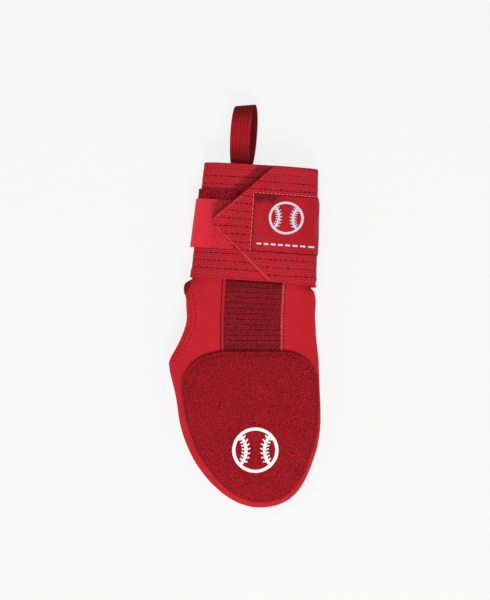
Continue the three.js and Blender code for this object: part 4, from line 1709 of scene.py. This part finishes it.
@dataclass
class BallEmblem:
    """Plain ball drawn in lines: a ring, two curved seams and their ticks."""

    node: str
    slot: Slot
    finish: Finish
    across: float
    along: float
    radius: float
    line: float
    level: Callable
    turn: float = 0.0

    def ribbon(self, path: Array, width: float) -> tuple[Array, Array]:
        """Flat line of a width along a path in plan, as a thin closed strip on the cloth.

        Args:
            path: Places across and along.
            width: The line's width.

        Returns:
            Its points and its quads.
        """
        forward = unit(np.gradient(path, axis=0))
        side = np.stack([-forward[:, 1], forward[:, 0]], axis=-1)
        offsets = np.array([-0.5, -0.42, 0.0, 0.42, 0.5]) * width
        dips = np.array([0.3, 0.0, 0.0, 0.0, 0.3])
        plan = path[:, None] + side[:, None] * offsets[None, :, None]
        along = plan[..., 1]
        angle = POUCH.angle_across(plan[..., 0], along) + self.turn
        low = self.level(angle, along)
        outer = POUCH.lifted(angle, along, low + 0.55 - dips)[0]
        sheet = Sheet(outer, POUCH.lifted(angle, along, low)[0], plan)
        points = np.concatenate([sheet.outer.reshape(-1, 3), sheet.inner.reshape(-1, 3)])
        return points, sheet.faces()

    def draw(self, name: str, paths: list[tuple[Array, float]], *nodes: str) -> None:
        """One piece of the lines along these paths.

        Args:
            name: The piece's name.
            paths: Each line's path and its width.
            nodes: The nodes that the piece replaces.
        """
        points, faces, count = [], [], 0
        for path, width in paths:
            some, quads = self.ribbon(path, width)
            points.append(some)
            faces.append(quads + count)
            count += len(some)
        piece = make_mesh(name, np.concatenate(points) * MM, np.concatenate(faces))
        settle(piece, self.finish, self.slot, *nodes)

    def build(self) -> None:
        """Ring, then seams: arcs of a circle set beside the ball, with short ticks across them."""
        centre = np.array([self.across, self.along])
        ring, middle = np.linspace(0.0, TURN, 121), self.radius - self.line / 2
        paths = [(centre + middle * np.stack([np.cos(ring), np.sin(ring)], axis=-1), self.line)]
        inner, beside, seam = self.radius - self.line, self.radius * 1.35, self.radius * 0.95
        meet = math.acos((beside**2 + seam**2 - inner**2) / (2 * beside * seam))
        spread = np.linspace(-1.0, 1.0, 7)
        reach = seam + spread * self.line * 1.25
        for sign in (1, -1):

            def bow(radius: Array | float, bend: Array) -> Array:
                """Arc round a point beside the ball."""
                arc = [sign * (beside - radius * np.cos(bend)), radius * np.sin(bend)]
                return centre + np.stack(arc, axis=-1)

            paths.append((bow(seam, np.linspace(-meet, meet, 61)), self.line))
            for tick in np.linspace(-meet * 0.8, meet * 0.8, 7):
                paths.append((bow(reach, tick + np.abs(spread) * 0.08), self.line * 0.42))
        self.draw(self.node + "_lines", paths, self.node)

    def dashes(self, name: str, start: float, end: float, along: float, count: int, height: float) -> None:
        """Row of plain dashes.

        Args:
            name: The piece's name.
            start: Place across of the first dash.
            end: Place across where the next dash after the last would start.
            along: Distance from the fingertips.
            count: Number of dashes.
            height: Height of a dash.
        """
        reach = (end - start) / count * 0.66
        lefts = np.linspace(start, end, count + 1)[:-1]
        lines = [np.stack([np.linspace(left, left + reach, 8), np.full(8, along)], axis=-1) for left in lefts]
        self.draw(name, [(line, height) for line in lines])


@dataclass
class Studio:
    """Pale table, soft lights and the camera above."""

    centre: tuple[float, float] = (-5.6, 29.8)
    frame_height: float = 480.0
    lens: float = 100.0
    plane: float = 16.0
    key: float = 11.0
    fill: float = 16.3
    sky: float = 0.425
    glow: float = 0.82
    table_half: float = 6.0
    sensor: float = 36.0

    def table(self) -> None:
        """Table that gives most of its own light, as a light table does, so shadows on it stay faint."""
        r = self.table_half
        mesh = bpy.data.meshes.new("table")
        mesh.from_pydata([[-r, -r, 0.0], [r, -r, 0.0], [r, r, 0.0], [-r, r, 0.0]], [], [[0, 1, 2, 3]])
        table = add_object("table", mesh)
        board = Board("pale_table")
        mesh.materials.append(board.close({
            "Base Color": board.tone((0.12, 0.12, 0.12), board.noise(3.0) * 0.02 + 0.99),
            "Roughness": 0.9,
            "Specular IOR Level": 0.1,
            "Emission Color": (1.0, 1.0, 1.0, 1.0),
            "Emission Strength": self.glow,
        }))

    def lamp(self, name: str, place: tuple[float, float, float], size: float, energy: float) -> None:
        """Square soft light that faces the mitt.

        Args:
            name: The light's name.
            place: Where it stands, in metres.
            size: Its side, in metres.
            energy: Its power, in watts.
        """
        light = bpy.data.lights.new(name, "AREA")
        light.size, light.energy = size, energy
        lamp = add_object(name, light)
        lamp.location = place
        x, y, z = unit(np.array(place) - np.array([*self.centre, 0.0]) * MM)
        lamp.rotation_euler = (0.0, math.acos(z), math.atan2(y, x))
        lamp.visible_camera = False

    def build(self) -> None:
        """Table, lights, world and camera."""
        self.table()
        self.lamp("key_light", place=(0.12, -0.92, 1.28), size=0.42, energy=self.key)
        self.lamp("top_light", place=(-0.3, 0.3, 2.4), size=2.2, energy=self.fill)
        world = bpy.data.worlds.new("studio")
        world.use_nodes = True
        background = world.node_tree.nodes["Background"]
        background.inputs[0].default_value = (1.0, 1.0, 1.0, 1.0)
        background.inputs[1].default_value = self.sky
        scene = bpy.context.scene
        scene.world = world
        scene.view_settings.view_transform = "Standard"
        camera = bpy.data.cameras.new("camera")
        camera.lens, camera.sensor_width = self.lens, self.sensor
        camera.clip_end = 30.0
        eye = add_object("camera", camera)
        distance = self.frame_height / self.sensor * self.lens + self.plane
        eye.location = (self.centre[0] * MM, self.centre[1] * MM, distance * MM)
        scene.camera = eye


def main() -> None:
    """Build every sub-assembly in order."""
    logging.basicConfig(level=logging.INFO, format="%(message)s")
    Studio().build()
    panels = PouchPanels()
    panels.back()
    panels.palm()
    panels.stitches()
    panels.hem_end()
    StretchPanel().build()
    pad = GuardPad()
    pad.build()
    closure = Closure()
    closure.strap()
    closure.fasteners()
    closure.plain_label()
    closure.flap_edging()
    PullLoop().build()
    BallEmblem(
        "pad_emblem", Slot.PAD_PRINT, WHITE_PRINT, across=2.5, along=49.0, radius=18.0, line=2.6,
        level=lambda angle, along: np.full_like(angle, POUCH.clearance + pad.thickness - 0.15),
    ).build()
    label = BallEmblem(
        "label_emblem", Slot.LABEL_PRINT, SILVER_PRINT, across=21.0, along=POUCH.length - 41.0, radius=13.0,
        line=1.9, level=lambda angle, along: closure.over(angle, along, 0.25) + closure.label[1], turn=TURN,
    )
    label.build()
    label.dashes("label_dashes", start=0.0, end=43.5, along=POUCH.length - 62.5, count=8, height=1.5)


if __name__ == "__main__":
    main()
